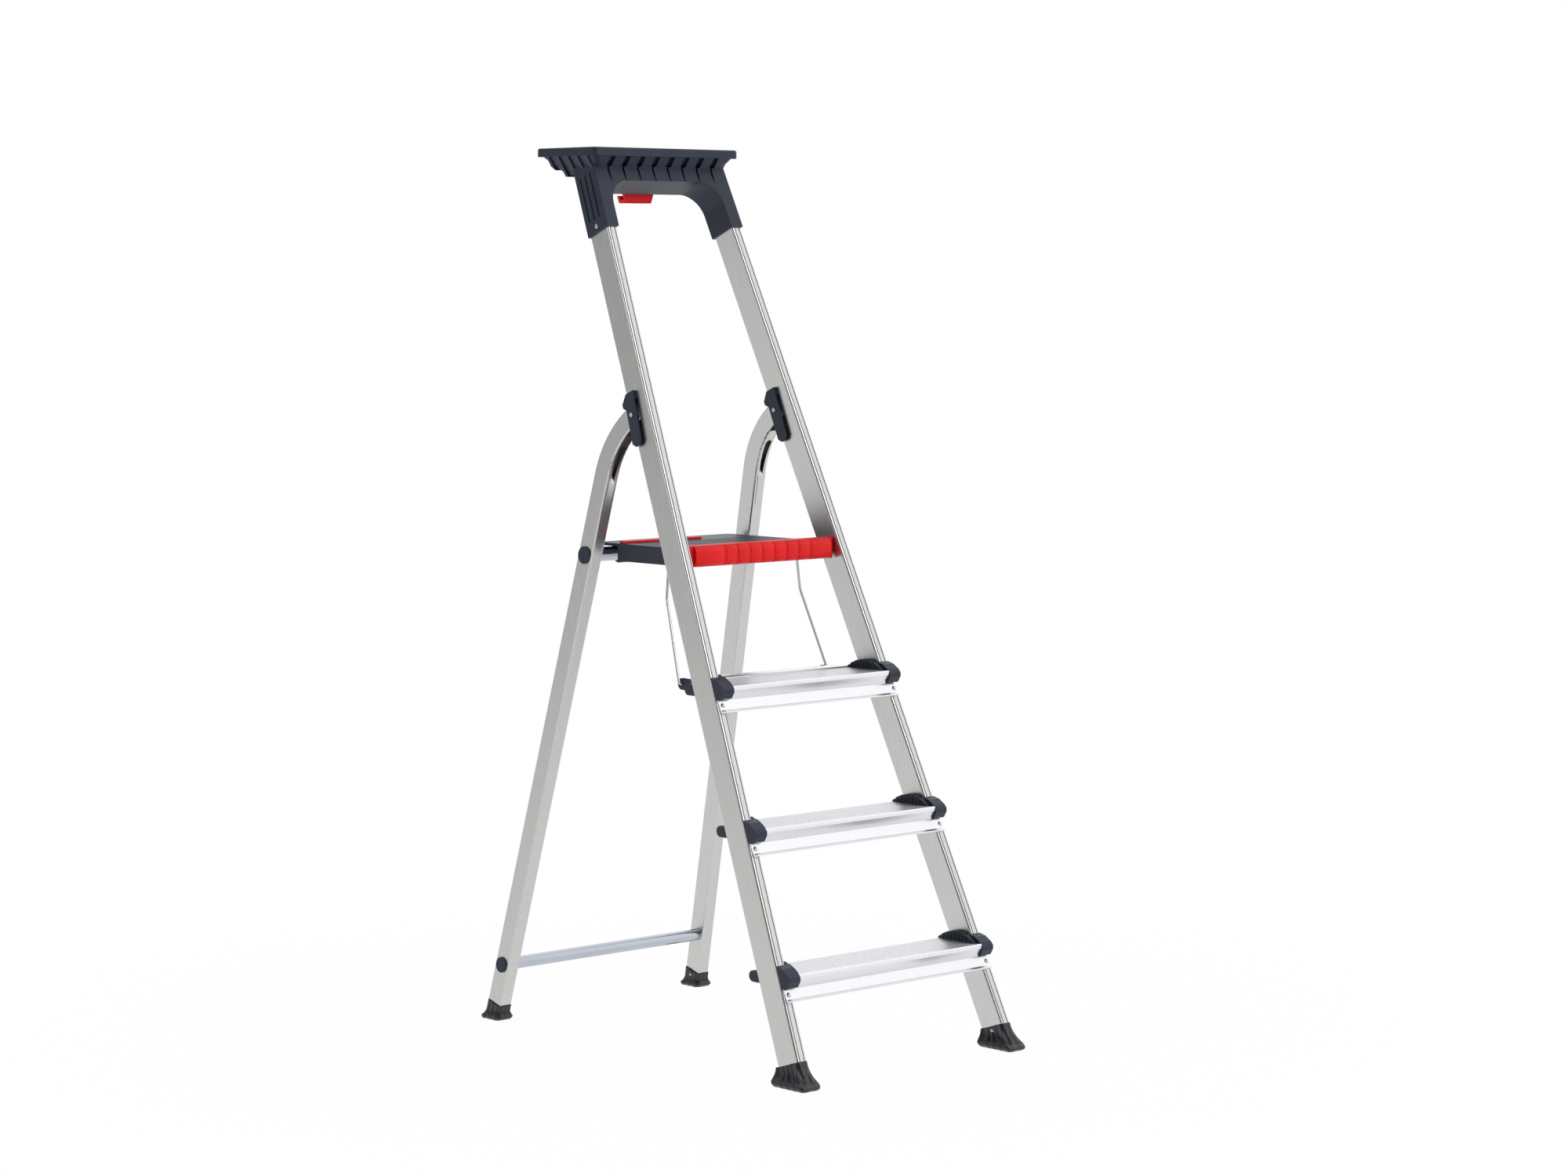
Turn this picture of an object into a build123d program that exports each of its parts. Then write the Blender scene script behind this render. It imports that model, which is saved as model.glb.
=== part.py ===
"""Folding platform step-ladder with a handrail bow and tool tray. Millimetres, +Z up, climber faces +Y."""
import os
from math import cos, radians, sin, tan

from build123d import *

os.makedirs("parts", exist_ok=True)

# Front frame: two box stiles in one plane that leans back, drawing together towards the top
FRONT_LEAN = 23.3
SPLAY = 3.6
FRONT_GAP = 461.0
STILE_WIDTH = 20.0
STILE_DEPTH = 51.0
STILE_WALL = 1.6
STILE_CORNER = 3.5
STILE_BOTTOM = 30.0
GROOVE_WIDTH = 2.0
GROOVE_DEPTH = 1.0

# Rear frame: two box legs that bend forward at the top and fork over the stiles
FOOT_SPREAD = 808.0
REAR_LEAN = 13.6
LEG_DEPTH = 36.0
LEG_WALL = 1.4
LEG_CORNER = 3.0
LEG_BOTTOM = 12.0
LEG_BEND = 45.0
LEG_END_RADIUS = 11.0
FORK_PLAY = 1.1
FORK_LIP = 13.0
FORK_THROAT = 36.0
PRESSING_WIDTH = 13.0
PRESSING_LENGTH = 112.0

# Hinge between the frames
HINGE_HEIGHT = 1199.0
HINGE_INSET = 11.0
HINGE_PLAY = 1.2
PIN_DIAMETER = 6.0
PIN_HEAD = 8.0
PIN_HEAD_HEIGHT = 2.0
PIN_FIT = 0.02
PIN_RUN = 0.05
BRACKET_WALL = 3.2
BRACKET_RISE = 38.0
BRACKET_TAIL = 57.0
BRACKET_WIDTH = 27.0
BRACKET_HOOK = 7.0

# Treads
TREAD_COUNT = 3
TREAD_PITCH = 228.8
TREAD_FIRST = 182.0
TREAD_NOSE = 25.0
TREAD_REACH = 72.0
TREAD_WALL = 2.5
TREAD_SKIRT = 22.0
TREAD_APRON = 44.0
APRON_TOP = 24.0
APRON_WALL = 3.8
APRON_LAP = 16.5
APRON_BEAD = 2.2
RIDGE_PITCH = 7.0
RIDGE_GROOVE = 3.0
RIDGE_DEPTH = 1.0
RIVET_DIAMETER = 5.0
RIVET_HEAD = 8.5
RIVET_HEAD_HEIGHT = 1.6
RIVET_GRIP = 6.0

# Moulded tread ends
CAP_PLATE = 3.0
CAP_RISE = 16.0
CAP_DROP = 22.0
CAP_NOSE = 27.0
CAP_TAIL = 22.0
CAP_HUMP = 8.0
CAP_CLEAR = 0.25
CAP_RIB_PITCH = 9.0
CAP_RIB_GROOVE = 4.4
SEAT = 0.05

# Platform, turning on a tube between the rear legs
TUBE_HEIGHT = 839.0
TUBE_DIAMETER = 25.0
TUBE_WALL = 1.5
DECK_INSET = 13.0
DECK_RISE = 20.5
DECK_PLATE = 5.0
DECK_DROP = 10.0
DECK_SETBACK = 36.6
DECK_TAIL = 15.0
DECK_CORNER = 14.0
SKIRT_WALL = 3.0
SKIRT_GAP = 42.0
DECK_RIBS = 4
DECK_RIB_PITCH = 60.0
DECK_GROOVE_PITCH = 12.0
DECK_GROOVE_DEPTH = 1.2
HUB_WIDTH = 46.0
HUB_PITCH = 190.0
HUB_WALL = 4.5
HUB_RUN = 0.08
BAR_PLAY = 2.5
BAR_DEPTH = 26.0
BAR_RISE = 6.5
BAR_CORNER = 7.0
BAR_STEP = 11.0
BAR_STEP_DEPTH = 9.0
BAR_FLUTES = 8
BAR_FLUTE_PITCH = 28.3
BAR_FLUTE_SHIFT = 10.0
BAR_FLUTE_RADIUS = 6.0
BAR_FLUTE_DEPTH = 2.0
STRIP_AHEAD = 48.0
STRIP_INSET = 5.0
STRIP_END = 28.0
STRIP_WIDTH = 12.0
STRIP_HEIGHT = 4.0
REST_DIAMETER = 8.0
REST_LAP = 8.0
REST_AHEAD = 8.0
NOTCH_HEIGHT = 13.0

# Wire stay that lifts the platform with the fold
WIRE_DIAMETER = 5.0
STAY_ARM = 68.0
STAY_DROP = 3.0
STAY_INSET = 7.0
STAY_RAIL = 102.5
STAY_KINK_OUT = 7.0
STAY_KINK_AHEAD = 2.0
STAY_KINK_DROP = 64.0
STAY_FOOT_BACK = 123.0
STAY_FOOT_DROP = 9.6
STAY_FOOT_HALF = 173.0
STAY_STUB = 14.0
STAY_BEND = 7.0
STAY_FOOT_BEND = 5.0
STAY_KINK_BEND = 20.0
KEEPER_HALF = 100.0
KEEPER_WIDTH = 12.0
KEEPER_WALL = 4.0
KEEPER_LIP = 8.0
KEEPER_GAP = 0.9
STAY_EYE_RADIUS = 10.0
STAY_EYE_WIDTH = 8.0
STAY_EYE_PLAY = 3.0

# Rear cross tube and the plugs of both tubes
CROSS_HEIGHT = 101.0
CROSS_DIAMETER = 22.0
PLUG_RIM = 3.0
PLUG_HEIGHT = 2.6
PLUG_SPIGOT = 8.0
PLUG_FIT = 0.6

# Handrail bow and tool tray, one moulding
BOW_WALL = 3.2
BOW_LEG = 86.0
BOW_RIVET_UP = 11.0
BOW_ROUND = 2.0
BOW_SINK = 21.0
ARCH_DROP = 58.0
STILE_SHORT = 1.0
BOW_RIBS = 3
BOW_RIB_PITCH = 14.0
BOW_RIB_WIDTH = 4.0
BOW_RIB_DEPTH = 1.6
BOW_RIB_LENGTH = 84.0
ARCH_CORNER = 46.0
BOW_FLUTES = 8
BOW_FLUTE_PITCH = 34.0
BOW_FLUTE_WIDTH = 12.0
BOW_FLUTE_DEPTH = 6.0
BOW_FLUTE_TAIL = 4.0
BOW_FLUTE_DROP = 27.0
BOW_PAD = 17.0
TRAY_HALF = 168.0
TRAY_OVERHANG = 31.4
TRAY_DEPTH = 163.0
TRAY_TOP = 1545.0
TRAY_RIM = 15.0
TRAY_LIP = 7.0
TRAY_WELL = 37.0
TRAY_HEIGHT = 47.0
TRAY_KEEL_HALF = 138.0
TRAY_KEEL_LEAD = 1.4
TRAY_KEEL_TAIL = 85.6
TRAY_WALL = 4.0
TRAY_CORNER = 12.0
TRAY_RIBS = 5
TRAY_RIB_PITCH = 26.0
TRAY_RIB_WIDTH = 7.0
TRAY_RIB_RISE = 3.0
SOCKET_FIT = 0.15
HOOK_HALF = 44.0
HOOK_TIP_HALF = 28.0
HOOK_DROP = 15.5
HOOK_REACH = 22.0
HOOK_WALL = 6.5
HOOK_PLAY = 1.0

# Shoes
SHOE_FLARE = 12.0
SHOE_TOE = 10.0
SHOE_HEEL = 16.0
SHOE_TOP_FRONT = 47.0
SHOE_TOP_REAR = 31.0
SHOE_WALL = 3.5
REAR_SHOE_FLARE = 7.0
REAR_SHOE_TOE = 8.0
REAR_SHOE_HEEL = 8.0
REAR_SHOE_TOP_FRONT = 27.0
REAR_SHOE_TOP_REAR = 37.0
SHOE_CORNER = 9.0
SHOE_FLUTE = 5.5
SHOE_FLUTE_PITCH = 11.5
SHOE_RIVET_UP = 46.0
REAR_SHOE_RIVET_UP = 20.0
SHOE_RIVET = 4.0
SHOE_RIVET_HEAD = 7.0

SIDES = ((-1, "left"), (1, "right"))
LEAN = radians(FRONT_LEAN)
BACK = radians(REAR_LEAN)
SPREAD = radians(SPLAY)
STILE_RUN = STILE_DEPTH / cos(LEAN)
LEG_RUN = LEG_DEPTH / cos(BACK)
LEG_WIDTH = STILE_WIDTH + 2 * (FORK_PLAY + LEG_WALL)

# Heights of the head, down from the tray's rim; those of the bow and stiles are up the slope
BOW_TOP = TRAY_TOP - BOW_SINK
TRAY_FLOOR = TRAY_TOP - TRAY_WELL
TRAY_KEEL = TRAY_TOP - TRAY_HEIGHT
ARCH_TOP = (TRAY_TOP - ARCH_DROP) / cos(LEAN)
STILE_TOP = ARCH_TOP - STILE_SHORT
BOW_BOTTOM = ARCH_TOP - BOW_LEG
TRAY_FRONT = BOW_TOP * tan(LEAN) - TRAY_OVERHANG
TRAY_KEEL_FRONT = BOW_TOP * tan(LEAN) - TRAY_KEEL_LEAD
TRAY_KEEL_REAR = BOW_TOP * tan(LEAN) + TRAY_KEEL_TAIL

# The origin stands midway between the toe of the front shoes and the heel of the rear ones
FRONT_Y = -(FOOT_SPREAD + LEG_RUN + REAR_SHOE_HEEL - SHOE_TOE) / 2
REAR_Y = FRONT_Y + FOOT_SPREAD
FRONT = Plane(origin=(0, FRONT_Y, 0), x_dir=(1, 0, 0), z_dir=(0, -cos(LEAN), sin(LEAN)))
REAR = Plane(origin=(0, REAR_Y, 0), x_dir=(1, 0, 0), z_dir=(0, -cos(BACK), -sin(BACK)))


def up(frame, side):
    """Direction up a stile or leg of a frame."""
    return frame.x_dir * (-side * sin(SPREAD)) + frame.y_dir * cos(SPREAD)


def across(frame, side):
    """Direction across a stile or leg, towards +X."""
    return frame.x_dir * cos(SPREAD) + frame.y_dir * (side * sin(SPREAD))


def stile_mid(slope):
    """Distance from the middle of the ladder to a stile's middle, at a height up the slope."""
    return FRONT_GAP / 2 + STILE_WIDTH / 2 / cos(SPREAD) - slope * tan(SPREAD)


def inner_gap(y, z):
    """Distance from the middle of the ladder to a stile's inner face."""
    slope = (y - FRONT_Y) * sin(LEAN) + z * cos(LEAN)
    return FRONT_GAP / 2 - slope * tan(SPREAD)


def front_face(z):
    """Y of the stiles' front faces at a height."""
    return FRONT_Y + z * tan(LEAN)


HINGE = FRONT.from_local_coords((stile_mid(HINGE_HEIGHT), HINGE_HEIGHT, HINGE_INSET - STILE_DEPTH))
HINGE_REAR = REAR.to_local_coords(Vector(0, HINGE.Y, HINGE.Z))
BEND_RADIUS = (HINGE_REAR.Z + LEG_DEPTH / 2) / (1 - cos(radians(LEG_BEND)))
HINGE_ALONG = HINGE_REAR.Y / cos(SPREAD)
BEND_START = HINGE_ALONG - BEND_RADIUS * sin(radians(LEG_BEND))


def leg_mid(slope):
    """Distance from the middle of the ladder to a rear leg's middle, at a height up its slope."""
    return HINGE.X + (HINGE_REAR.Y - slope) * tan(SPREAD)


def leg_centre(z):
    """Y on the rear legs' middle line at a height."""
    return REAR_Y - z * tan(BACK) + LEG_RUN / 2


TUBE_Y = leg_centre(TUBE_HEIGHT)
CROSS_Y = leg_centre(CROSS_HEIGHT)
STAY_Y = TUBE_Y - STAY_ARM

# The deck hangs on the tube, and its front bar fills the gap between the stiles
DECK_TOP = TUBE_HEIGHT + DECK_RISE
DECK_BOTTOM = TUBE_HEIGHT - DECK_DROP
DECK_FRONT = TUBE_HEIGHT * tan(LEAN) + DECK_SETBACK
BAR_HALF = inner_gap(FRONT_Y + DECK_FRONT, DECK_TOP + BAR_RISE) - BAR_PLAY
DECK_HALF = BAR_HALF - DECK_INSET
STRIP_HALF = DECK_HALF - STRIP_INSET
REST_REACH = BAR_HALF - REST_LAP
STAY_HALF = DECK_HALF - STAY_INSET
STAY_LEVEL = TUBE_HEIGHT - STAY_DROP


def beam_side(frame, side, middle):
    """Side view of a stile or leg: x up it, y to the front of its front face, z across it."""
    origin = frame.from_local_coords((side * middle(0), 0, 0))
    return Plane(origin, x_dir=up(frame, side), z_dir=across(frame, side))


def beam_end(frame, side, middle, slope, depth):
    """Section of a stile or leg at a height: x across it, y to its rear."""
    origin = frame.from_local_coords((side * middle(slope), slope, -depth / 2))
    return Plane(origin, x_dir=across(frame, side), z_dir=up(frame, side))


def profile_plane(y, z, x=0.0):
    """Side view of the ladder: x is the rearward distance, y the height, drawn from a point."""
    return Plane(origin=(x, y, z), x_dir=(0, 1, 0), z_dir=(1, 0, 0))


def cross_bore(x, y, z, diameter, length):
    """Cut a bore along X."""
    with Locations(Location((x, y, z), (0, 90, 0))):
        Cylinder(diameter / 2, length, mode=Mode.SUBTRACT)


def save(piece, name):
    """Label a finished piece and write it."""
    piece.part.label = name
    export_step(piece.part, f"parts/{name}.step")


def tread_top(number):
    """Height of a tread's top."""
    return TREAD_FIRST + number * TREAD_PITCH


def cap_face(number):
    """X of a tread end's outer face, clear of the stile all along it."""
    z = tread_top(number) + CAP_RISE
    return inner_gap(front_face(z) + STILE_RUN, z) - CAP_CLEAR


def tread_half(number):
    """Half length of a tread between its moulded ends."""
    return cap_face(number) - CAP_PLATE - SEAT


RIVET_DROP = (APRON_TOP + TREAD_APRON) / 2
APRON_FLAT = APRON_WALL * cos(LEAN)


def rivet_seat(number, side):
    """Frame of an apron rivet: on the stile's front face, pointing forward."""
    z = tread_top(number) - RIVET_DROP
    slope = z / cos(LEAN)
    point = FRONT.from_local_coords((side * stile_mid(slope), slope, 0))
    return Plane(point, x_dir=(1, 0, 0), z_dir=FRONT.z_dir)


def shoe_rivet(frame, side, middle, slope, width, depth):
    """Frame of a shoe's rivet: on the inner face of a stile or leg, pointing to the ladder's middle."""
    foot = frame.from_local_coords((side * middle(slope), slope, -depth / 2))
    inward = across(frame, side) * -side
    return Plane(foot + inward * (width / 2), x_dir=up(frame, side), z_dir=inward)


BOW_RIVET = BOW_BOTTOM + BOW_RIVET_UP
REST_Z = DECK_BOTTOM + NOTCH_HEIGHT - REST_DIAMETER / 2
REST_Y = FRONT_Y + DECK_FRONT - REST_AHEAD

# Stiles: hollow extrusions with two fine grooves down the front, bored for the pins and rivets
for side, hand in SIDES:
    with BuildPart() as stile:
        with BuildSketch(beam_end(FRONT, side, stile_mid, STILE_BOTTOM, STILE_DEPTH)):
            RectangleRounded(STILE_WIDTH, STILE_DEPTH, STILE_CORNER)
            with Locations((-STILE_WIDTH / 4, -STILE_DEPTH / 2), (STILE_WIDTH / 4, -STILE_DEPTH / 2)):
                Rectangle(GROOVE_WIDTH, 2 * GROOVE_DEPTH, mode=Mode.SUBTRACT)
            RectangleRounded(
                STILE_WIDTH - 2 * STILE_WALL,
                STILE_DEPTH - 2 * STILE_WALL,
                STILE_CORNER - STILE_WALL,
                mode=Mode.SUBTRACT,
            )
        extrude(amount=(STILE_TOP - STILE_BOTTOM) / cos(SPREAD))
        cross_bore(side * HINGE.X, HINGE.Y, HINGE.Z, PIN_DIAMETER + 2 * PIN_FIT, 2 * STILE_WIDTH)
        for number in range(TREAD_COUNT):
            with Locations(rivet_seat(number, side).location):
                Cylinder(RIVET_DIAMETER / 2 + PIN_FIT, 2 * RIVET_GRIP, mode=Mode.SUBTRACT)
        rest_x = inner_gap(REST_Y, REST_Z)
        cross_bore(side * rest_x, REST_Y, REST_Z, REST_DIAMETER + 2 * PIN_FIT, STILE_WIDTH)
        bow_rivet = FRONT.from_local_coords((stile_mid(BOW_RIVET), BOW_RIVET, -STILE_DEPTH / 2))
        rivet_x = bow_rivet.X + STILE_WIDTH / 2
        cross_bore(side * rivet_x, bow_rivet.Y, bow_rivet.Z, RIVET_DIAMETER + 2 * PIN_FIT, STILE_WIDTH)
        with Locations(shoe_rivet(FRONT, side, stile_mid, SHOE_RIVET_UP, STILE_WIDTH, STILE_DEPTH).location):
            Cylinder(SHOE_RIVET / 2 + PIN_FIT, STILE_WIDTH, mode=Mode.SUBTRACT)
    save(stile, f"stile_{hand}")

# Rear legs: box tubes bent forward, open at the front of the bend and forked round the stile
for side, hand in SIDES:
    side_plane = beam_side(REAR, side, leg_mid)
    middle = BEND_RADIUS - LEG_DEPTH / 2
    leg_foot = LEG_BOTTOM / cos(SPREAD)
    with BuildPart() as leg:
        with BuildSketch(side_plane):
            with BuildLine():
                rear = Line((leg_foot, -LEG_DEPTH), (BEND_START, -LEG_DEPTH))
                sweep_out = CenterArc((BEND_START, middle), BEND_RADIUS + LEG_DEPTH / 2, -90, LEG_BEND)
                sweep_in = CenterArc((BEND_START, middle), BEND_RADIUS - LEG_DEPTH / 2, -90, LEG_BEND)
                nose = TangentArc(sweep_out @ 1, sweep_in @ 1, tangent=sweep_out % 1)
                front = Line((BEND_START, 0), (leg_foot, 0))
                Line(front @ 1, rear @ 0)
            make_face()
        extrude(amount=LEG_WIDTH / 2, both=True)
        fillet(leg.edges().filter_by(Axis(leg.faces().sort_by(Axis.Z)[0].center(), up(REAR, side))), LEG_CORNER)
        with BuildSketch(side_plane):
            with BuildLine():
                rear = Line((0, LEG_WALL - LEG_DEPTH), (BEND_START, LEG_WALL - LEG_DEPTH))
                sweep_out = CenterArc(
                    (BEND_START, middle), BEND_RADIUS + LEG_DEPTH / 2 - LEG_WALL, -90, LEG_BEND
                )
                sweep_in = CenterArc(
                    (BEND_START, middle), BEND_RADIUS - LEG_DEPTH / 2 + LEG_WALL, -90, LEG_BEND
                )
                Line(sweep_out @ 1, sweep_in @ 1)
                front = Line((BEND_START, -LEG_WALL), (0, -LEG_WALL))
                Line(front @ 1, rear @ 0)
            make_face()
        extrude(amount=LEG_WIDTH / 2 - LEG_WALL, both=True, mode=Mode.SUBTRACT)
        end_direction = side_plane.x_dir.rotate(Axis((0, 0, 0), side_plane.z_dir), LEG_BEND)
        hinge_point = side_plane.from_local_coords((HINGE_ALONG, HINGE_REAR.Z, 0))
        with BuildSketch(Plane(hinge_point, x_dir=end_direction, z_dir=side_plane.z_dir)):
            with BuildLine():
                Polyline(
                    (LEG_DEPTH, -LEG_DEPTH),
                    (-FORK_LIP, -LEG_DEPTH),
                    (-FORK_LIP, 0),
                    (-FORK_THROAT, 0),
                    (-FORK_THROAT, LEG_DEPTH),
                    (LEG_DEPTH, LEG_DEPTH),
                    close=True,
                )
            make_face()
        extrude(amount=LEG_WIDTH / 2 - LEG_WALL, both=True, mode=Mode.SUBTRACT)
        with BuildSketch(Plane(hinge_point, x_dir=end_direction, z_dir=side_plane.z_dir)):
            with Locations((LEG_END_RADIUS, 0)):
                Rectangle(LEG_DEPTH, 2 * LEG_DEPTH, align=(Align.MIN, Align.CENTER))
        extrude(amount=LEG_WIDTH, both=True, mode=Mode.SUBTRACT)
        press_point = side_plane.from_local_coords((BEND_START, -LEG_DEPTH / 2, 0))
        with BuildSketch(Plane(press_point, x_dir=side_plane.x_dir, z_dir=side_plane.y_dir)):
            with Locations((PRESSING_LENGTH / 2, 0)):
                Circle(PRESSING_WIDTH / 2)
            with Locations((-PRESSING_LENGTH / 2, 0)):
                Circle(PRESSING_WIDTH / 8)
            make_hull()
        extrude(amount=2 * LEG_DEPTH, mode=Mode.SUBTRACT)
        cross_bore(side * HINGE.X, HINGE.Y, HINGE.Z, PIN_DIAMETER + 2 * PIN_RUN, 2 * LEG_WIDTH)
        for z, y, diameter in ((TUBE_HEIGHT, TUBE_Y, TUBE_DIAMETER), (CROSS_HEIGHT, CROSS_Y, CROSS_DIAMETER)):
            slope = REAR.to_local_coords(Vector(0, y, z)).Y
            cross_bore(side * leg_mid(slope), y, z, diameter + 2 * PIN_FIT, 2 * LEG_WIDTH)
        with Locations(shoe_rivet(REAR, side, leg_mid, REAR_SHOE_RIVET_UP, LEG_WIDTH, LEG_DEPTH).location):
            Cylinder(SHOE_RIVET / 2 + PIN_FIT, LEG_WIDTH, mode=Mode.SUBTRACT)
    save(leg, f"rear_leg_{hand}")

# Hinge brackets: a cheek on each side of the stile, joined above the fork and hooked round its rear
for side, hand in SIDES:
    side_plane = beam_side(FRONT, side, stile_mid)
    hinge_up = HINGE_HEIGHT / cos(SPREAD)
    rear_face = -STILE_DEPTH
    cheek_in = LEG_WIDTH / 2 + HINGE_PLAY
    cheek_out = cheek_in + BRACKET_WALL
    with BuildPart() as bracket:
        with BuildSketch(side_plane):
            with BuildLine():
                Polyline(
                    (hinge_up + BRACKET_RISE, rear_face + BRACKET_WIDTH),
                    (hinge_up + BRACKET_RISE, rear_face + BRACKET_HOOK),
                    (hinge_up + BRACKET_RISE - 2 * BRACKET_HOOK, rear_face - BRACKET_HOOK),
                    (hinge_up + BRACKET_RISE - 3 * BRACKET_HOOK, rear_face - BRACKET_HOOK),
                    (hinge_up + LEG_END_RADIUS, rear_face),
                    (hinge_up - BRACKET_TAIL + BRACKET_HOOK, rear_face - BRACKET_HOOK / 2),
                    (hinge_up - BRACKET_TAIL, rear_face + BRACKET_HOOK / 2),
                    (hinge_up - BRACKET_TAIL, rear_face + BRACKET_WIDTH / 2),
                    (hinge_up - BRACKET_TAIL + BRACKET_HOOK, rear_face + BRACKET_WIDTH - BRACKET_HOOK),
                    close=True,
                )
            make_face()
        extrude(amount=cheek_out, both=True)
        with BuildSketch(side_plane):
            with Locations((hinge_up + BRACKET_RISE / 2, rear_face)):
                Rectangle(4 * BRACKET_TAIL, 2 * STILE_DEPTH)
        extrude(amount=cheek_in, both=True, mode=Mode.SUBTRACT)
        with BuildSketch(side_plane):
            with BuildLine():
                web_foot = hinge_up + BRACKET_RISE - 2 * BRACKET_HOOK
                Polyline(
                    (hinge_up + BRACKET_RISE, rear_face + BRACKET_WIDTH),
                    (hinge_up + BRACKET_RISE, rear_face + BRACKET_HOOK),
                    (web_foot, rear_face - BRACKET_HOOK),
                    (web_foot, rear_face + BRACKET_WIDTH),
                    close=True,
                )
            make_face()
        extrude(amount=cheek_in, both=True)
        with BuildSketch(beam_end(FRONT, side, stile_mid, HINGE_HEIGHT, STILE_DEPTH)):
            RectangleRounded(STILE_WIDTH + 2 * SEAT, STILE_DEPTH + 2 * SEAT, STILE_CORNER + SEAT)
        extrude(amount=2 * BRACKET_TAIL, both=True, mode=Mode.SUBTRACT)
        cross_bore(side * HINGE.X, HINGE.Y, HINGE.Z, PIN_DIAMETER + 2 * PIN_FIT, 4 * STILE_WIDTH)
    save(bracket, f"hinge_bracket_{hand}")

    pin_half = cheek_out / cos(SPREAD) + PIN_HEAD / 2 * tan(SPREAD) + SEAT
    with BuildPart() as pin:
        with Locations(Location((side * HINGE.X, HINGE.Y, HINGE.Z), (0, 90, 0))):
            Cylinder(PIN_DIAMETER / 2, 2 * pin_half)
            with Locations((0, 0, pin_half), (0, 0, -pin_half - PIN_HEAD_HEIGHT)):
                Cylinder(PIN_HEAD / 2, PIN_HEAD_HEIGHT, align=(Align.CENTER, Align.CENTER, Align.MIN))
        fillet(pin.edges().filter_by(GeomType.CIRCLE).group_by(Axis.X)[0], PIN_HEAD_HEIGHT / 3)
        fillet(pin.edges().filter_by(GeomType.CIRCLE).group_by(Axis.X)[-1], PIN_HEAD_HEIGHT / 3)
    save(pin, f"hinge_pin_{hand}")

# Treads: open-bottomed extrusions with a ridged top, a hollow nosing and an apron on the stiles
for number in range(TREAD_COUNT):
    top = tread_top(number)
    plane = profile_plane(front_face(top), top)
    slant = tan(LEAN)
    apron_out = APRON_WALL + SEAT
    with BuildPart() as tread:
        with BuildSketch(plane):
            with BuildLine():
                Polyline(
                    (-APRON_TOP * slant - SEAT, -APRON_TOP),
                    (-TREAD_APRON * slant - SEAT, -TREAD_APRON),
                    (-TREAD_APRON * slant - apron_out - APRON_BEAD, -TREAD_APRON),
                    (-TREAD_APRON * slant - apron_out - APRON_BEAD, -TREAD_APRON + APRON_BEAD),
                    ((APRON_BEAD * 2 - TREAD_APRON) * slant - apron_out, -TREAD_APRON + APRON_BEAD * 2),
                    (-APRON_TOP * slant - apron_out, -APRON_TOP),
                    close=True,
                )
            make_face()
        apron_half = inner_gap(plane.origin.Y, top - TREAD_APRON) + APRON_LAP
        extrude(amount=apron_half, both=True)
        with BuildSketch(plane):
            with BuildLine():
                shelf = -TREAD_NOSE + TREAD_WALL
                lip = Line((-APRON_TOP * slant - apron_out, -APRON_TOP), (-TREAD_NOSE, -3 * TREAD_WALL))
                nose = Line(lip @ 1, (-TREAD_NOSE, -TREAD_WALL))
                crown = ThreePointArc(
                    nose @ 1, (-TREAD_NOSE + 0.3 * TREAD_WALL, -0.3 * TREAD_WALL), (shelf, 0)
                )
                Polyline(
                    crown @ 1,
                    (TREAD_REACH, 0),
                    (TREAD_REACH, -TREAD_SKIRT),
                    (TREAD_REACH - TREAD_WALL, -TREAD_SKIRT),
                    (TREAD_REACH - TREAD_WALL, -TREAD_WALL),
                    (shelf, -TREAD_WALL),
                    (shelf, -3 * TREAD_WALL),
                    (-APRON_TOP * slant - SEAT, -APRON_TOP),
                    lip @ 0,
                )
            make_face()
            ridges = int((TREAD_REACH + TREAD_NOSE - 4 * TREAD_WALL) / RIDGE_PITCH)
            ridge_mid = (TREAD_REACH - TREAD_NOSE) / 2
            with Locations((ridge_mid, 0)):
                with GridLocations(RIDGE_PITCH, 0, ridges, 1):
                    Rectangle(RIDGE_GROOVE, 2 * RIDGE_DEPTH, mode=Mode.SUBTRACT)
        extrude(amount=tread_half(number), both=True)
        for side, hand in SIDES:
            with Locations(rivet_seat(number, side).location):
                Cylinder(RIVET_DIAMETER / 2 + PIN_FIT, 2 * APRON_WALL + 2, mode=Mode.SUBTRACT)
    save(tread, f"tread_{number + 1}")

# Apron rivets
with BuildPart() as rivets:
    for number in range(TREAD_COUNT):
        for side, hand in SIDES:
            with Locations(rivet_seat(number, side).location):
                with Locations((0, 0, -RIVET_GRIP + APRON_FLAT)):
                    Cylinder(
                        RIVET_DIAMETER / 2,
                        RIVET_GRIP + SEAT,
                        align=(Align.CENTER, Align.CENTER, Align.MIN),
                    )
                with Locations((0, 0, APRON_FLAT + SEAT)):
                    Cone(
                        RIVET_HEAD / 2,
                        RIVET_HEAD / 4,
                        RIVET_HEAD_HEIGHT,
                        align=(Align.CENTER, Align.CENTER, Align.MIN),
                    )
save(rivets, "tread_rivets")

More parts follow.
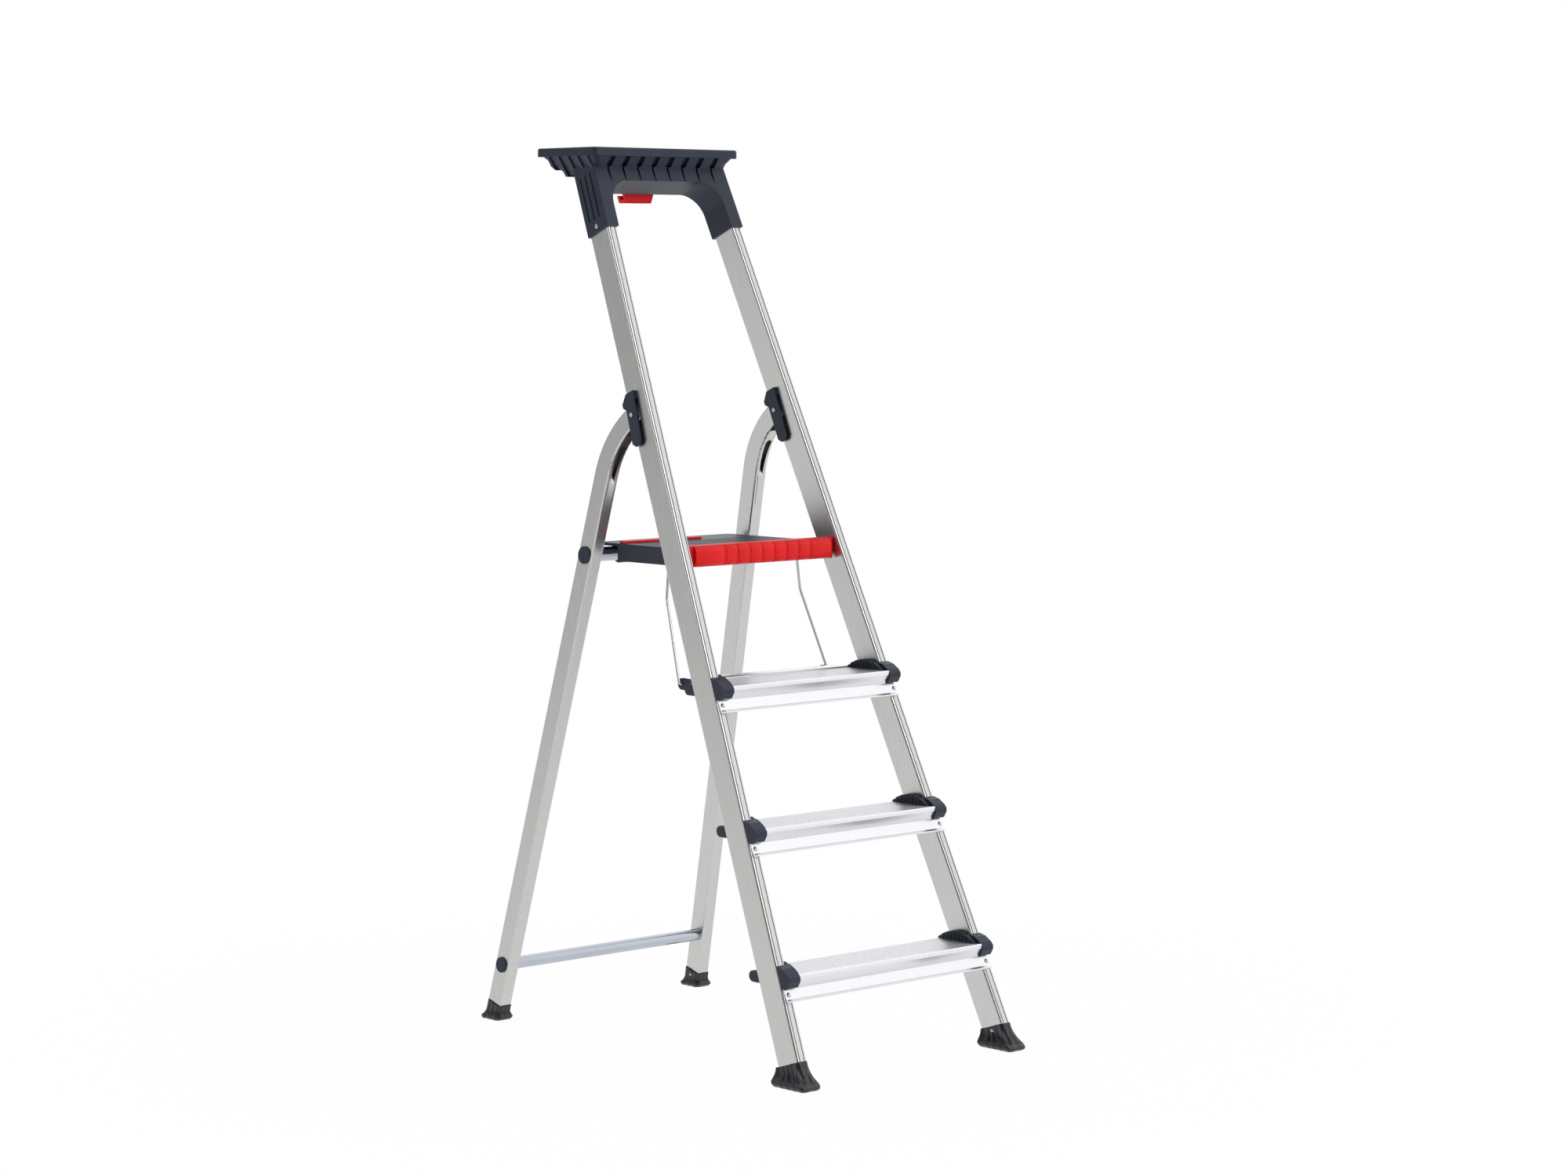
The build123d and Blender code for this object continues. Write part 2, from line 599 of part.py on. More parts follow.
# Moulded tread ends: a block before the stile, a ribbed hump beside it and a tail behind it,
# which on the top tread is the eye that carries the wire stay
for number in range(TREAD_COUNT):
    top = tread_top(number)
    y0 = front_face(top)
    slant = tan(LEAN)
    inner = cap_face(number) - CAP_PLATE
    block = inner_gap(y0, top) + STILE_WIDTH - inner
    eye_in = STAY_FOOT_HALF - WIRE_DIAMETER / 2 - STAY_EYE_PLAY - STAY_EYE_WIDTH
    for side, hand in SIDES:
        with BuildPart() as cap:
            with BuildSketch(profile_plane(y0, top, side * inner)):
                with BuildLine():
                    Polyline(
                        (0.8 * CAP_RISE * slant - CAP_CLEAR, 0.8 * CAP_RISE),
                        (-CAP_DROP * slant - CAP_CLEAR, -CAP_DROP),
                        (-0.75 * CAP_NOSE, -CAP_DROP),
                        (-CAP_NOSE, -0.5 * CAP_DROP),
                        (-CAP_NOSE, -0.2 * CAP_DROP),
                        (-0.8 * CAP_NOSE, 0.1 * CAP_RISE),
                        (-0.3 * CAP_NOSE, 0.6 * CAP_RISE),
                        close=True,
                    )
                make_face()
            extrude(amount=side * block)
            outer_edges = cap.edges().filter_by(Axis.X).sort_by(Axis.Y)[:4]
            fillet(outer_edges, CAP_NOSE / 8)
            with BuildSketch(profile_plane(y0, top, side * inner)):
                with BuildLine():
                    Polyline(
                        (-CAP_DROP * slant - 4 * CAP_CLEAR, -CAP_DROP),
                        (TREAD_REACH + CAP_PLATE, -CAP_DROP),
                        (TREAD_REACH + CAP_PLATE, SEAT),
                        (-4 * CAP_CLEAR, SEAT),
                        close=True,
                    )
                make_face()
            extrude(amount=side * CAP_PLATE)
            with BuildSketch(profile_plane(y0, top, side * (inner - CAP_HUMP))):
                with BuildLine():
                    ridge = ThreePointArc(
                        (-0.5 * CAP_NOSE, SEAT), (0.45 * TREAD_REACH, CAP_RISE), (TREAD_REACH + CAP_PLATE, SEAT)
                    )
                    Line(ridge @ 1, ridge @ 0)
                make_face()
                scallops = int(0.8 * TREAD_REACH / CAP_RIB_PITCH)
                for place in range(scallops):
                    with Locations(ridge @ (0.3 + 0.6 * place / (scallops - 1))):
                        Circle(CAP_RIB_GROOVE / 2, mode=Mode.SUBTRACT)
            extrude(amount=side * (CAP_HUMP + CAP_PLATE))
            with BuildSketch(profile_plane(y0, top, side * inner)):
                with BuildLine():
                    low = -CAP_DROP
                    high = -CAP_PLATE
                    tail = STILE_RUN + CAP_TAIL - (high - low) / 2
                    arm = Line((low * slant + STILE_RUN + CAP_CLEAR, low), (tail, low))
                    tip = ThreePointArc((tail, low), (tail + (high - low) / 2, (low + high) / 2), (tail, high))
                    back = Line(tip @ 1, (high * slant + STILE_RUN + CAP_CLEAR, high))
                    Line(back @ 1, arm @ 0)
                make_face()
            extrude(amount=side * (block - 2 * CAP_PLATE))
            if number == TREAD_COUNT - 1:
                with BuildSketch(profile_plane(y0, top, side * eye_in)):
                    with Locations((TREAD_REACH + SEAT, -CAP_PLATE)):
                        Rectangle(3 * CAP_PLATE, CAP_DROP - CAP_PLATE, align=(Align.MIN, Align.MAX))
                extrude(amount=side * (inner + CAP_PLATE - eye_in))
                with BuildSketch(profile_plane(y0, top, side * eye_in)):
                    with Locations((STAY_FOOT_BACK, -STAY_FOOT_DROP)):
                        Circle(STAY_EYE_RADIUS)
                    with Locations((TREAD_REACH + SEAT, -STAY_FOOT_DROP)):
                        Rectangle(
                            STAY_FOOT_BACK - TREAD_REACH - SEAT,
                            2 * STAY_EYE_RADIUS,
                            align=(Align.MIN, Align.CENTER),
                        )
                extrude(amount=side * STAY_EYE_WIDTH)
                cross_bore(
                    side * eye_in,
                    y0 + STAY_FOOT_BACK,
                    top - STAY_FOOT_DROP,
                    WIRE_DIAMETER + 2 * PIN_RUN,
                    4 * STAY_EYE_WIDTH,
                )
        save(cap, f"tread_end_{number + 1}_{hand}")

# Tubes between the rear legs, cut flush with the legs, and the plugs that close them
def leg_outer(side, y, z):
    """Frame on a rear leg's outer face, where a tube's axis meets it."""
    slope = REAR.to_local_coords(Vector(0, y, z)).Y
    x = leg_mid(slope) + LEG_WIDTH / 2 / cos(SPREAD)
    return Plane(origin=(side * x, y, z), x_dir=(0, 1, 0), z_dir=across(REAR, side) * side)


tubes = (
    ("platform_tube", TUBE_Y, TUBE_HEIGHT, TUBE_DIAMETER),
    ("cross_tube", CROSS_Y, CROSS_HEIGHT, CROSS_DIAMETER),
)
for name, y, z, diameter in tubes:
    with BuildPart() as tube:
        with Locations(Location((0, y, z), (0, 90, 0))):
            Cylinder(diameter / 2, 2 * FRONT_GAP)
            Cylinder(diameter / 2 - TUBE_WALL, 2 * FRONT_GAP, mode=Mode.SUBTRACT)
        for side, hand in SIDES:
            split(bisect_by=leg_outer(side, y, z), keep=Keep.BOTTOM)
    save(tube, name)
    with BuildPart() as plugs:
        for side, hand in SIDES:
            with Locations(leg_outer(side, y, z).offset(SEAT).location):
                Cylinder(
                    diameter / 2 + PLUG_RIM, PLUG_HEIGHT, align=(Align.CENTER, Align.CENTER, Align.MIN)
                )
                Cylinder(
                    diameter / 2 - TUBE_WALL - PLUG_FIT,
                    PLUG_SPIGOT,
                    align=(Align.CENTER, Align.CENTER, Align.MAX),
                )
        fillet(plugs.edges().filter_by(GeomType.CIRCLE).group_by(Axis.X)[0], PLUG_HEIGHT / 3)
        fillet(plugs.edges().filter_by(GeomType.CIRCLE).group_by(Axis.X)[-1], PLUG_HEIGHT / 3)
    save(plugs, f"{name}_plugs")

# Platform deck: a ribbed moulding, open below, with two hubs that turn on the platform tube
deck_y = FRONT_Y + DECK_FRONT
deck_back = TUBE_Y + DECK_TAIL
skirt_back = TUBE_Y - SKIRT_GAP
skirt_drop = DECK_TOP - DECK_PLATE - DECK_BOTTOM
strip_y = TUBE_Y - STRIP_AHEAD
from_front = (Align.CENTER, Align.MIN, Align.MIN)
with BuildPart() as deck:
    with Locations((0, deck_y, DECK_TOP - DECK_PLATE)):
        Box(2 * DECK_HALF, deck_back - deck_y, DECK_PLATE, align=from_front)
    fillet(deck.edges().filter_by(Axis.Z).group_by(Axis.Y)[-1], DECK_CORNER)
    skirt_x = DECK_HALF - SKIRT_WALL / 2
    with Locations((-skirt_x, deck_y, DECK_BOTTOM), (skirt_x, deck_y, DECK_BOTTOM)):
        Box(SKIRT_WALL, skirt_back - deck_y, skirt_drop, align=from_front)
    with Locations((0, deck_y, DECK_BOTTOM)):
        Box(2 * DECK_HALF, SKIRT_WALL, skirt_drop, align=from_front)
    with Locations((0, deck_y, DECK_BOTTOM + skirt_drop / 2)):
        with GridLocations(DECK_RIB_PITCH, 0, DECK_RIBS, 1):
            Box(SKIRT_WALL, STAY_Y - deck_y - 3 * WIRE_DIAMETER, skirt_drop / 2, align=from_front)
    with Locations((0, TUBE_Y, TUBE_HEIGHT)):
        with GridLocations(HUB_PITCH, 0, 2, 1):
            Box(
                HUB_WIDTH,
                TUBE_DIAMETER + 2 * HUB_WALL,
                DECK_TOP - DECK_PLATE - TUBE_HEIGHT,
                align=(Align.CENTER, Align.CENTER, Align.MIN),
            )
            Cylinder(TUBE_DIAMETER / 2 + HUB_WALL, HUB_WIDTH, rotation=(0, 90, 0))
    cross_bore(0, TUBE_Y, TUBE_HEIGHT, TUBE_DIAMETER + 2 * HUB_RUN, 2 * DECK_HALF)
    keeper_front = STAY_Y - WIRE_DIAMETER / 2 - KEEPER_GAP - KEEPER_WALL
    keeper_low = STAY_LEVEL - WIRE_DIAMETER / 2 - KEEPER_GAP - KEEPER_WALL
    with Locations((-KEEPER_HALF, keeper_front, keeper_low), (KEEPER_HALF, keeper_front, keeper_low)):
        Box(KEEPER_WIDTH, KEEPER_WALL, DECK_TOP - DECK_PLATE - keeper_low, align=from_front)
        Box(KEEPER_WIDTH, KEEPER_WALL + KEEPER_LIP, KEEPER_WALL, align=from_front)
    groove_run = strip_y - STRIP_WIDTH - deck_y - DECK_GROOVE_PITCH
    with Locations((0, deck_y + DECK_GROOVE_PITCH + groove_run / 2, DECK_TOP)):
        with GridLocations(0, DECK_GROOVE_PITCH, 1, int(groove_run / DECK_GROOVE_PITCH)):
            Box(
                2 * DECK_HALF - 2 * DECK_GROOVE_PITCH,
                DECK_GROOVE_PITCH / 3,
                2 * DECK_GROOVE_DEPTH,
                mode=Mode.SUBTRACT,
            )
save(deck, "platform_deck")

# Toe strip at the rear of the deck, from its left end to just past the middle
with BuildPart() as strip:
    with Locations((-STRIP_HALF, strip_y, DECK_TOP + SEAT)):
        Box(STRIP_HALF + STRIP_END, STRIP_WIDTH, STRIP_HEIGHT, align=(Align.MIN, Align.CENTER, Align.MIN))
    fillet(strip.faces().sort_by(Axis.Z)[-1].edges(), STRIP_HEIGHT / 3)
save(strip, "platform_toe_strip")

# Front bar of the platform: fluted in front, notched at the ends where it lies on the rest pins
bar_height = DECK_TOP + BAR_RISE - DECK_BOTTOM
with BuildPart() as bar:
    with Locations((0, deck_y - SEAT, DECK_BOTTOM)):
        Box(2 * BAR_HALF, BAR_DEPTH, bar_height, align=(Align.CENTER, Align.MAX, Align.MIN))
    fillet(bar.faces().sort_by(Axis.Y)[0].edges().filter_by(Axis.X), BAR_CORNER)
    fillet(bar.faces().filter_by(Axis.X).edges().filter_by(GeomType.LINE).group_by(Axis.Y)[0], BAR_CORNER / 3)
    flute_y = deck_y - SEAT - BAR_DEPTH - BAR_FLUTE_RADIUS + BAR_FLUTE_DEPTH
    with Locations((BAR_FLUTE_SHIFT, flute_y, DECK_BOTTOM + BAR_CORNER)):
        with GridLocations(BAR_FLUTE_PITCH, 0, BAR_FLUTES, 1):
            Cylinder(
                BAR_FLUTE_RADIUS,
                bar_height / 2,
                align=(Align.CENTER, Align.CENTER, Align.MIN),
                mode=Mode.SUBTRACT,
            )
    notch_front = REST_Y - REST_DIAMETER / 2 - SEAT
    for side, hand in SIDES:
        with Locations((side * BAR_HALF, deck_y - SEAT - BAR_DEPTH, DECK_BOTTOM)):
            Box(
                2 * BAR_STEP,
                2 * BAR_STEP_DEPTH,
                2 * bar_height,
                mode=Mode.SUBTRACT,
            )
        with Locations((side * (REST_REACH - SEAT), notch_front, DECK_BOTTOM)):
            Box(
                BAR_HALF,
                BAR_DEPTH,
                NOTCH_HEIGHT + SEAT,
                align=(Align.MIN if side > 0 else Align.MAX, Align.MIN, Align.MIN),
                mode=Mode.SUBTRACT,
            )
save(bar, "platform_front_bar")

# Rest pins in the stiles' inner faces, under the ends of the front bar
with BuildPart() as rests:
    for side, hand in SIDES:
        rest_end = inner_gap(REST_Y, REST_Z) + STILE_WIDTH / 3
        with Locations(Location((side * (REST_REACH + rest_end) / 2, REST_Y, REST_Z), (0, 90, 0))):
            Cylinder(REST_DIAMETER / 2, rest_end - REST_REACH)
save(rests, "platform_rest_pins")

# Wire stay: one bent rod from eye to eye, across under the deck
with BuildPart() as stay:
    with BuildLine() as wire:
        foot_y = front_face(tread_top(TREAD_COUNT - 1)) + STAY_FOOT_BACK
        foot_z = tread_top(TREAD_COUNT - 1) - STAY_FOOT_DROP
        rail_y = STAY_Y - STAY_RAIL
        half_route = (
            (STAY_FOOT_HALF - STAY_STUB, foot_y, foot_z),
            (STAY_FOOT_HALF, foot_y, foot_z),
            (STAY_HALF + STAY_KINK_OUT, rail_y - STAY_KINK_AHEAD, STAY_LEVEL - STAY_KINK_DROP),
            (STAY_HALF, rail_y, STAY_LEVEL),
            (STAY_HALF, STAY_Y, STAY_LEVEL),
        )
        mirrored = tuple((-x, y, z) for x, y, z in reversed(half_route))
        half_bends = (STAY_FOOT_BEND, STAY_KINK_BEND, STAY_BEND, STAY_BEND)
        FilletPolyline(*half_route, *mirrored, radius=half_bends + tuple(reversed(half_bends)))
    with BuildSketch(Plane(wire.line @ 0, z_dir=wire.line % 0)):
        Circle(WIRE_DIAMETER / 2)
    sweep()
save(stay, "stay_wire")

# Handrail bow with the tool tray on it: one moulding that sits over the stile tops
rim_under = TRAY_TOP - TRAY_RIM
tray_mid = FRONT_Y + TRAY_FRONT + TRAY_DEPTH / 2
keel_mid = FRONT_Y + (TRAY_KEEL_FRONT + TRAY_KEEL_REAR) / 2
keel_depth = TRAY_KEEL_REAR - TRAY_KEEL_FRONT
with BuildPart() as tray_ribs:
    with BuildSketch(Plane.XY.offset(TRAY_KEEL - TRAY_RIB_RISE)):
        with Locations((0, keel_mid)):
            Rectangle(2 * (TRAY_KEEL_HALF + TRAY_RIB_RISE), keel_depth)
    with BuildSketch(Plane.XY.offset(rim_under)):
        with Locations((0, tray_mid)):
            Rectangle(2 * (TRAY_HALF - TRAY_LIP + TRAY_RIB_RISE), TRAY_DEPTH - 2 * TRAY_LIP)
    loft()
    with BuildSketch(Plane.XY.offset(TRAY_KEEL - TRAY_RIM)):
        with Locations((0, tray_mid)):
            with GridLocations(0, TRAY_RIB_PITCH, 1, TRAY_RIBS):
                Rectangle(4 * TRAY_HALF, TRAY_RIB_WIDTH)
    extrude(amount=2 * TRAY_RIM + TRAY_TOP - TRAY_KEEL, mode=Mode.INTERSECT)


def bow_face(z):
    """Y of the bow's front face at a height."""
    return front_face(z) - BOW_WALL / cos(LEAN)


rim_y = FRONT_Y + TRAY_FRONT + TRAY_LIP
pad_low = rim_under - BOW_PAD
basin_front = TRAY_WALL + 1.5 * BOW_FLUTE_DEPTH
half_bow = (STILE_WIDTH / 2 + BOW_WALL) / cos(SPREAD)
bow_crest = (BOW_TOP + 2 * STILE_DEPTH * sin(LEAN)) / cos(LEAN)
arch_half = stile_mid(ARCH_TOP) - half_bow
with BuildPart() as handle:
    with BuildSketch(FRONT.offset(BOW_WALL)):
        with BuildLine():
            arch = FilletPolyline(
                (half_bow - stile_mid(BOW_BOTTOM), BOW_BOTTOM),
                (-arch_half, ARCH_TOP),
                (arch_half, ARCH_TOP),
                (stile_mid(BOW_BOTTOM) - half_bow, BOW_BOTTOM),
                radius=ARCH_CORNER,
            )
            Polyline(
                arch @ 1,
                (stile_mid(BOW_BOTTOM) + half_bow, BOW_BOTTOM),
                (stile_mid(bow_crest) + half_bow, bow_crest),
                (-stile_mid(bow_crest) - half_bow, bow_crest),
                (-stile_mid(BOW_BOTTOM) - half_bow, BOW_BOTTOM),
                arch @ 0,
            )
        make_face()
    extrude(amount=-STILE_DEPTH - 2 * BOW_WALL)
    fillet(handle.faces().sort_by(Axis.X)[0].edges().sort_by_distance(FRONT.origin)[1:3], BOW_ROUND)
    split(bisect_by=Plane.XY.offset(BOW_TOP), keep=Keep.BOTTOM)
    with BuildSketch(Plane.XY.offset(TRAY_KEEL)):
        with Locations((0, keel_mid)):
            RectangleRounded(2 * TRAY_KEEL_HALF, keel_depth, TRAY_CORNER)
    with BuildSketch(Plane.XY.offset(rim_under)):
        with Locations((0, tray_mid)):
            RectangleRounded(2 * (TRAY_HALF - TRAY_LIP), TRAY_DEPTH - 2 * TRAY_LIP, TRAY_CORNER)
    loft()
    with BuildSketch(Plane.XY.offset(rim_under)):
        with Locations((0, tray_mid)):
            RectangleRounded(2 * TRAY_HALF, TRAY_DEPTH, TRAY_CORNER)
    extrude(amount=TRAY_RIM)
    fillet(handle.faces().sort_by(Axis.Z)[-1].edges(), TRAY_RIM / 4)
    add(tray_ribs.part)
    with BuildSketch(Plane.XY.offset(TRAY_FLOOR)):
        with Locations((0, FRONT_Y + TRAY_KEEL_REAR - TRAY_WALL)):
            RectangleRounded(
                2 * (TRAY_KEEL_HALF - TRAY_WALL),
                keel_depth - TRAY_WALL - basin_front,
                TRAY_CORNER,
                align=(Align.CENTER, Align.MAX),
            )
    with BuildSketch(Plane.XY.offset(TRAY_TOP)):
        with Locations((0, FRONT_Y + TRAY_FRONT + TRAY_DEPTH - TRAY_LIP - TRAY_WALL)):
            RectangleRounded(
                2 * (TRAY_HALF - TRAY_LIP - TRAY_WALL),
                TRAY_DEPTH - 2 * TRAY_LIP - TRAY_WALL - basin_front,
                TRAY_CORNER,
                align=(Align.CENTER, Align.MAX),
            )
    loft(mode=Mode.SUBTRACT)
    for place in range(BOW_FLUTES):
        flute_x = (place - (BOW_FLUTES - 1) / 2) * BOW_FLUTE_PITCH
        with BuildSketch(profile_plane(0, 0, flute_x)):
            with BuildLine():
                Polyline(
                    (rim_y - TRAY_LIP, rim_under),
                    (rim_y + BOW_FLUTE_DEPTH, rim_under),
                    (bow_face(pad_low) + BOW_FLUTE_DEPTH, pad_low),
                    (rim_y - TRAY_LIP, pad_low),
                    close=True,
                )
            make_face()
        extrude(amount=BOW_FLUTE_WIDTH / 2, both=True, mode=Mode.SUBTRACT)
        with BuildSketch(profile_plane(0, 0, flute_x)):
            with BuildLine():
                Polyline(
                    (rim_y - TRAY_LIP, pad_low),
                    (bow_face(pad_low) + BOW_FLUTE_DEPTH, pad_low),
                    (bow_face(pad_low - BOW_FLUTE_DROP), pad_low - BOW_FLUTE_DROP),
                    (rim_y - TRAY_LIP, pad_low - BOW_FLUTE_DROP),
                    close=True,
                )
            make_face()
        extrude(amount=BOW_FLUTE_TAIL / 2, both=True, mode=Mode.SUBTRACT)
    for side, hand in SIDES:
        with BuildSketch(beam_end(FRONT, side, stile_mid, STILE_TOP + SOCKET_FIT, STILE_DEPTH)):
            RectangleRounded(
                STILE_WIDTH + 2 * SOCKET_FIT, STILE_DEPTH + 2 * SOCKET_FIT, STILE_CORNER + SOCKET_FIT
            )
        extrude(amount=BOW_BOTTOM - STILE_TOP - STILE_DEPTH, mode=Mode.SUBTRACT)
        outer_face = beam_side(FRONT, side, stile_mid).offset(side * (STILE_WIDTH / 2 + BOW_WALL))
        with BuildSketch(outer_face):
            with Locations(((BOW_BOTTOM + 2 * BOW_RIVET_UP) / cos(SPREAD), -STILE_DEPTH / 2)):
                with GridLocations(0, BOW_RIB_PITCH, 1, BOW_RIBS):
                    Rectangle(BOW_RIB_LENGTH, BOW_RIB_WIDTH, align=(Align.MIN, Align.CENTER))
        extrude(amount=-side * BOW_RIB_DEPTH, mode=Mode.SUBTRACT)
        cross_bore(
            side * (bow_rivet.X + STILE_WIDTH / 2),
            bow_rivet.Y,
            bow_rivet.Z,
            RIVET_DIAMETER + 2 * PIN_FIT,
            STILE_WIDTH,
        )
save(handle, "handle_tray")

# Rivets that hold the bow to the stiles
bow_outer = bow_rivet.X + half_bow + RIVET_HEAD / 2 * tan(SPREAD) + SEAT
with BuildPart() as bow_rivets:
    for side, hand in SIDES:
        with Locations(
            Plane((side * bow_outer, bow_rivet.Y, bow_rivet.Z), z_dir=(side, 0, 0)).location
        ):
            Cylinder(
                RIVET_DIAMETER / 2,
                RIVET_GRIP + BOW_WALL,
                align=(Align.CENTER, Align.CENTER, Align.MAX),
            )
            Cone(
                RIVET_HEAD / 2,
                RIVET_HEAD / 4,
                RIVET_HEAD_HEIGHT,
                align=(Align.CENTER, Align.CENTER, Align.MIN),
            )
save(bow_rivets, "bow_rivets")

# Bucket hook, hung from a rib under the tray behind the arch
edge = FRONT.from_local_coords((0, ARCH_TOP, -STILE_DEPTH - BOW_WALL))
hook_top = TRAY_KEEL - TRAY_RIB_RISE - SEAT
hook_low = edge.Z - HOOK_DROP
hook_tall = hook_top - hook_low
hook_y = front_face(hook_top) + (STILE_DEPTH + BOW_WALL) / cos(LEAN) + HOOK_PLAY
with BuildPart() as hook:
    with BuildSketch(profile_plane(hook_y, hook_low)):
        with BuildLine():
            Polyline(
                (0, 0),
                (HOOK_REACH, 0),
                (HOOK_REACH, 2 * HOOK_WALL),
                (HOOK_REACH - HOOK_WALL, 2 * HOOK_WALL),
                (HOOK_REACH - HOOK_WALL, HOOK_WALL),
                (HOOK_WALL, HOOK_WALL),
                (HOOK_WALL, hook_tall),
                (0, hook_tall),
                close=True,
            )
        make_face()
    extrude(amount=HOOK_HALF, both=True)
    with BuildSketch(Plane(origin=(0, hook_y, hook_low), x_dir=(1, 0, 0), z_dir=(0, -1, 0))):
        with BuildLine():
            Polyline(
                (-HOOK_TIP_HALF, 0),
                (HOOK_TIP_HALF, 0),
                (HOOK_HALF, hook_tall),
                (-HOOK_HALF, hook_tall),
                close=True,
            )
        make_face()
    extrude(amount=2 * HOOK_REACH, both=True, mode=Mode.INTERSECT)
save(hook, "bucket_hook")

# Shoes: flared and fluted mouldings on the stile and leg ends, each held by a sunk rivet
shoes = (
    (
        ("front", FRONT, stile_mid, STILE_WIDTH, STILE_DEPTH, STILE_BOTTOM),
        (FRONT_Y, tan(LEAN), STILE_RUN, SHOE_FLARE, SHOE_TOE, SHOE_HEEL),
        (SHOE_TOP_FRONT, SHOE_TOP_REAR, SHOE_RIVET_UP),
    ),
    (
        ("rear", REAR, leg_mid, LEG_WIDTH, LEG_DEPTH, LEG_BOTTOM),
        (REAR_Y, -tan(BACK), LEG_RUN, REAR_SHOE_FLARE, REAR_SHOE_TOE, REAR_SHOE_HEEL),
        (REAR_SHOE_TOP_FRONT, REAR_SHOE_TOP_REAR, REAR_SHOE_RIVET_UP),
    ),
)
for (end, frame, middle, width, depth, bottom), ground, tops in shoes:
    floor_y, lean, run, flare, toe, heel = ground
    top_front, top_rear, rivet_up = tops
    crown_z = max(top_front, top_rear) + SHOE_WALL
    wall_run = SHOE_WALL * run / depth
    sole_long = run + toe + heel
    neck_long = run + 2 * wall_run
    sole_y = floor_y - toe
    neck_y = floor_y + crown_z * lean - wall_run
    slant_front = floor_y + top_front * lean - wall_run
    slant_rear = floor_y + top_rear * lean + run + wall_run
    slant_plane = Plane(
        origin=(0, slant_front, top_front), z_dir=(0, top_front - top_rear, slant_rear - slant_front)
    )
    for side, hand in SIDES:
        sole_x = side * middle(0)
        neck_x = side * middle(crown_z * run / depth)
        sole_wide = width + 2 * flare
        neck_wide = width + 2 * SHOE_WALL
        with BuildPart() as shoe:
            with BuildSketch(Plane.XY):
                with Locations((sole_x, sole_y + sole_long / 2)):
                    RectangleRounded(sole_wide, sole_long, SHOE_CORNER)
            with BuildSketch(Plane.XY.offset(crown_z)):
                with Locations((neck_x, neck_y + neck_long / 2)):
                    RectangleRounded(neck_wide, neck_long, SHOE_CORNER / 2)
            loft()
            split(bisect_by=slant_plane, keep=Keep.BOTTOM)
            flutes = int((sole_long - 2 * SHOE_CORNER) / SHOE_FLUTE_PITCH)
            for face in (-1, 1):
                for place in range(flutes):
                    along = (SHOE_CORNER + (place + 0.5) * SHOE_FLUTE_PITCH) / sole_long
                    low = Vector(sole_x + face * sole_wide / 2, sole_y + along * sole_long, 0)
                    high = Vector(neck_x + face * neck_wide / 2, neck_y + along * neck_long, crown_z)
                    with Locations(Plane((low + high) / 2, z_dir=high - low).location):
                        Cylinder(SHOE_FLUTE / 2, 2 * crown_z, mode=Mode.SUBTRACT)
                for place in (-1, 1):
                    low = Vector(
                        sole_x + place * SHOE_FLUTE_PITCH / 2, sole_y + (1 + face) / 2 * sole_long, 0
                    )
                    high = Vector(
                        neck_x + place * SHOE_FLUTE_PITCH / 3, neck_y + (1 + face) / 2 * neck_long, crown_z
                    )
                    with Locations(Plane((low + high) / 2, z_dir=high - low).location):
                        Cylinder(SHOE_FLUTE / 2, 2 * crown_z, mode=Mode.SUBTRACT)
            with BuildSketch(beam_end(frame, side, middle, bottom, depth)):
                Rectangle(width + 2 * SEAT, depth + 2 * SEAT)
            extrude(amount=2 * crown_z, mode=Mode.SUBTRACT)
            with Locations(shoe_rivet(frame, side, middle, rivet_up, width, depth).location):
                Cylinder(SHOE_RIVET / 2 + PIN_FIT, STILE_WIDTH, mode=Mode.SUBTRACT)
                with Locations((0, 0, SHOE_WALL / 2)):
                    Cylinder(
                        SHOE_RIVET_HEAD / 2 + SEAT,
                        sole_wide,
                        align=(Align.CENTER, Align.CENTER, Align.MIN),
                        mode=Mode.SUBTRACT,
                    )
        save(shoe, f"{end}_shoe_{hand}")
    with BuildPart() as shoe_rivets:
        for side, hand in SIDES:
            with Locations(shoe_rivet(frame, side, middle, rivet_up, width, depth).location):
                with Locations((0, 0, SHOE_WALL / 2 + SEAT)):
                    Cylinder(
                        SHOE_RIVET / 2, SHOE_RIVET + SHOE_WALL, align=(Align.CENTER, Align.CENTER, Align.MAX)
                    )
                    Cone(
                        SHOE_RIVET_HEAD / 2,
                        SHOE_RIVET_HEAD / 4,
                        SHOE_RIVET / 2,
                        align=(Align.CENTER, Align.CENTER, Align.MIN),
                    )
    save(shoe_rivets, f"{end}_shoe_rivets")
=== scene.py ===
"""Looks for a folding platform step-ladder with a handrail bow and tool tray.

Metres, +Z up, the climber faces +Y.
"""
import math

import bmesh
import bpy
from mathutils import Matrix, Vector


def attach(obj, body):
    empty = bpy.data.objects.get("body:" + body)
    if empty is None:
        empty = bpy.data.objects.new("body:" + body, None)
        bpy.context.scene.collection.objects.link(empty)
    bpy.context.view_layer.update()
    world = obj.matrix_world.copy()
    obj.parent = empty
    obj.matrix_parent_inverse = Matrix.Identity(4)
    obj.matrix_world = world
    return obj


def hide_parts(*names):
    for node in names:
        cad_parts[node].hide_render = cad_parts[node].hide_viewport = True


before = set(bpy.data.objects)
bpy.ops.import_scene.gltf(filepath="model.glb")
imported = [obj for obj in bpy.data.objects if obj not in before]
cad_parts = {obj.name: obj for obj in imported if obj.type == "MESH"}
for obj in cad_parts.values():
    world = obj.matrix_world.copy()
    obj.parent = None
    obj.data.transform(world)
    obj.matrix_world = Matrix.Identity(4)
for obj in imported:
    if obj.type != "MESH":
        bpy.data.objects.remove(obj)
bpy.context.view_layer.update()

# The stiles: two box extrusions of clear-anodised aluminium that lean back and draw together
# upwards. The mill leaves fine streaks along the length, which stretch every reflection across.
MM = 0.001
HANDS = (("left", -1), ("right", 1))
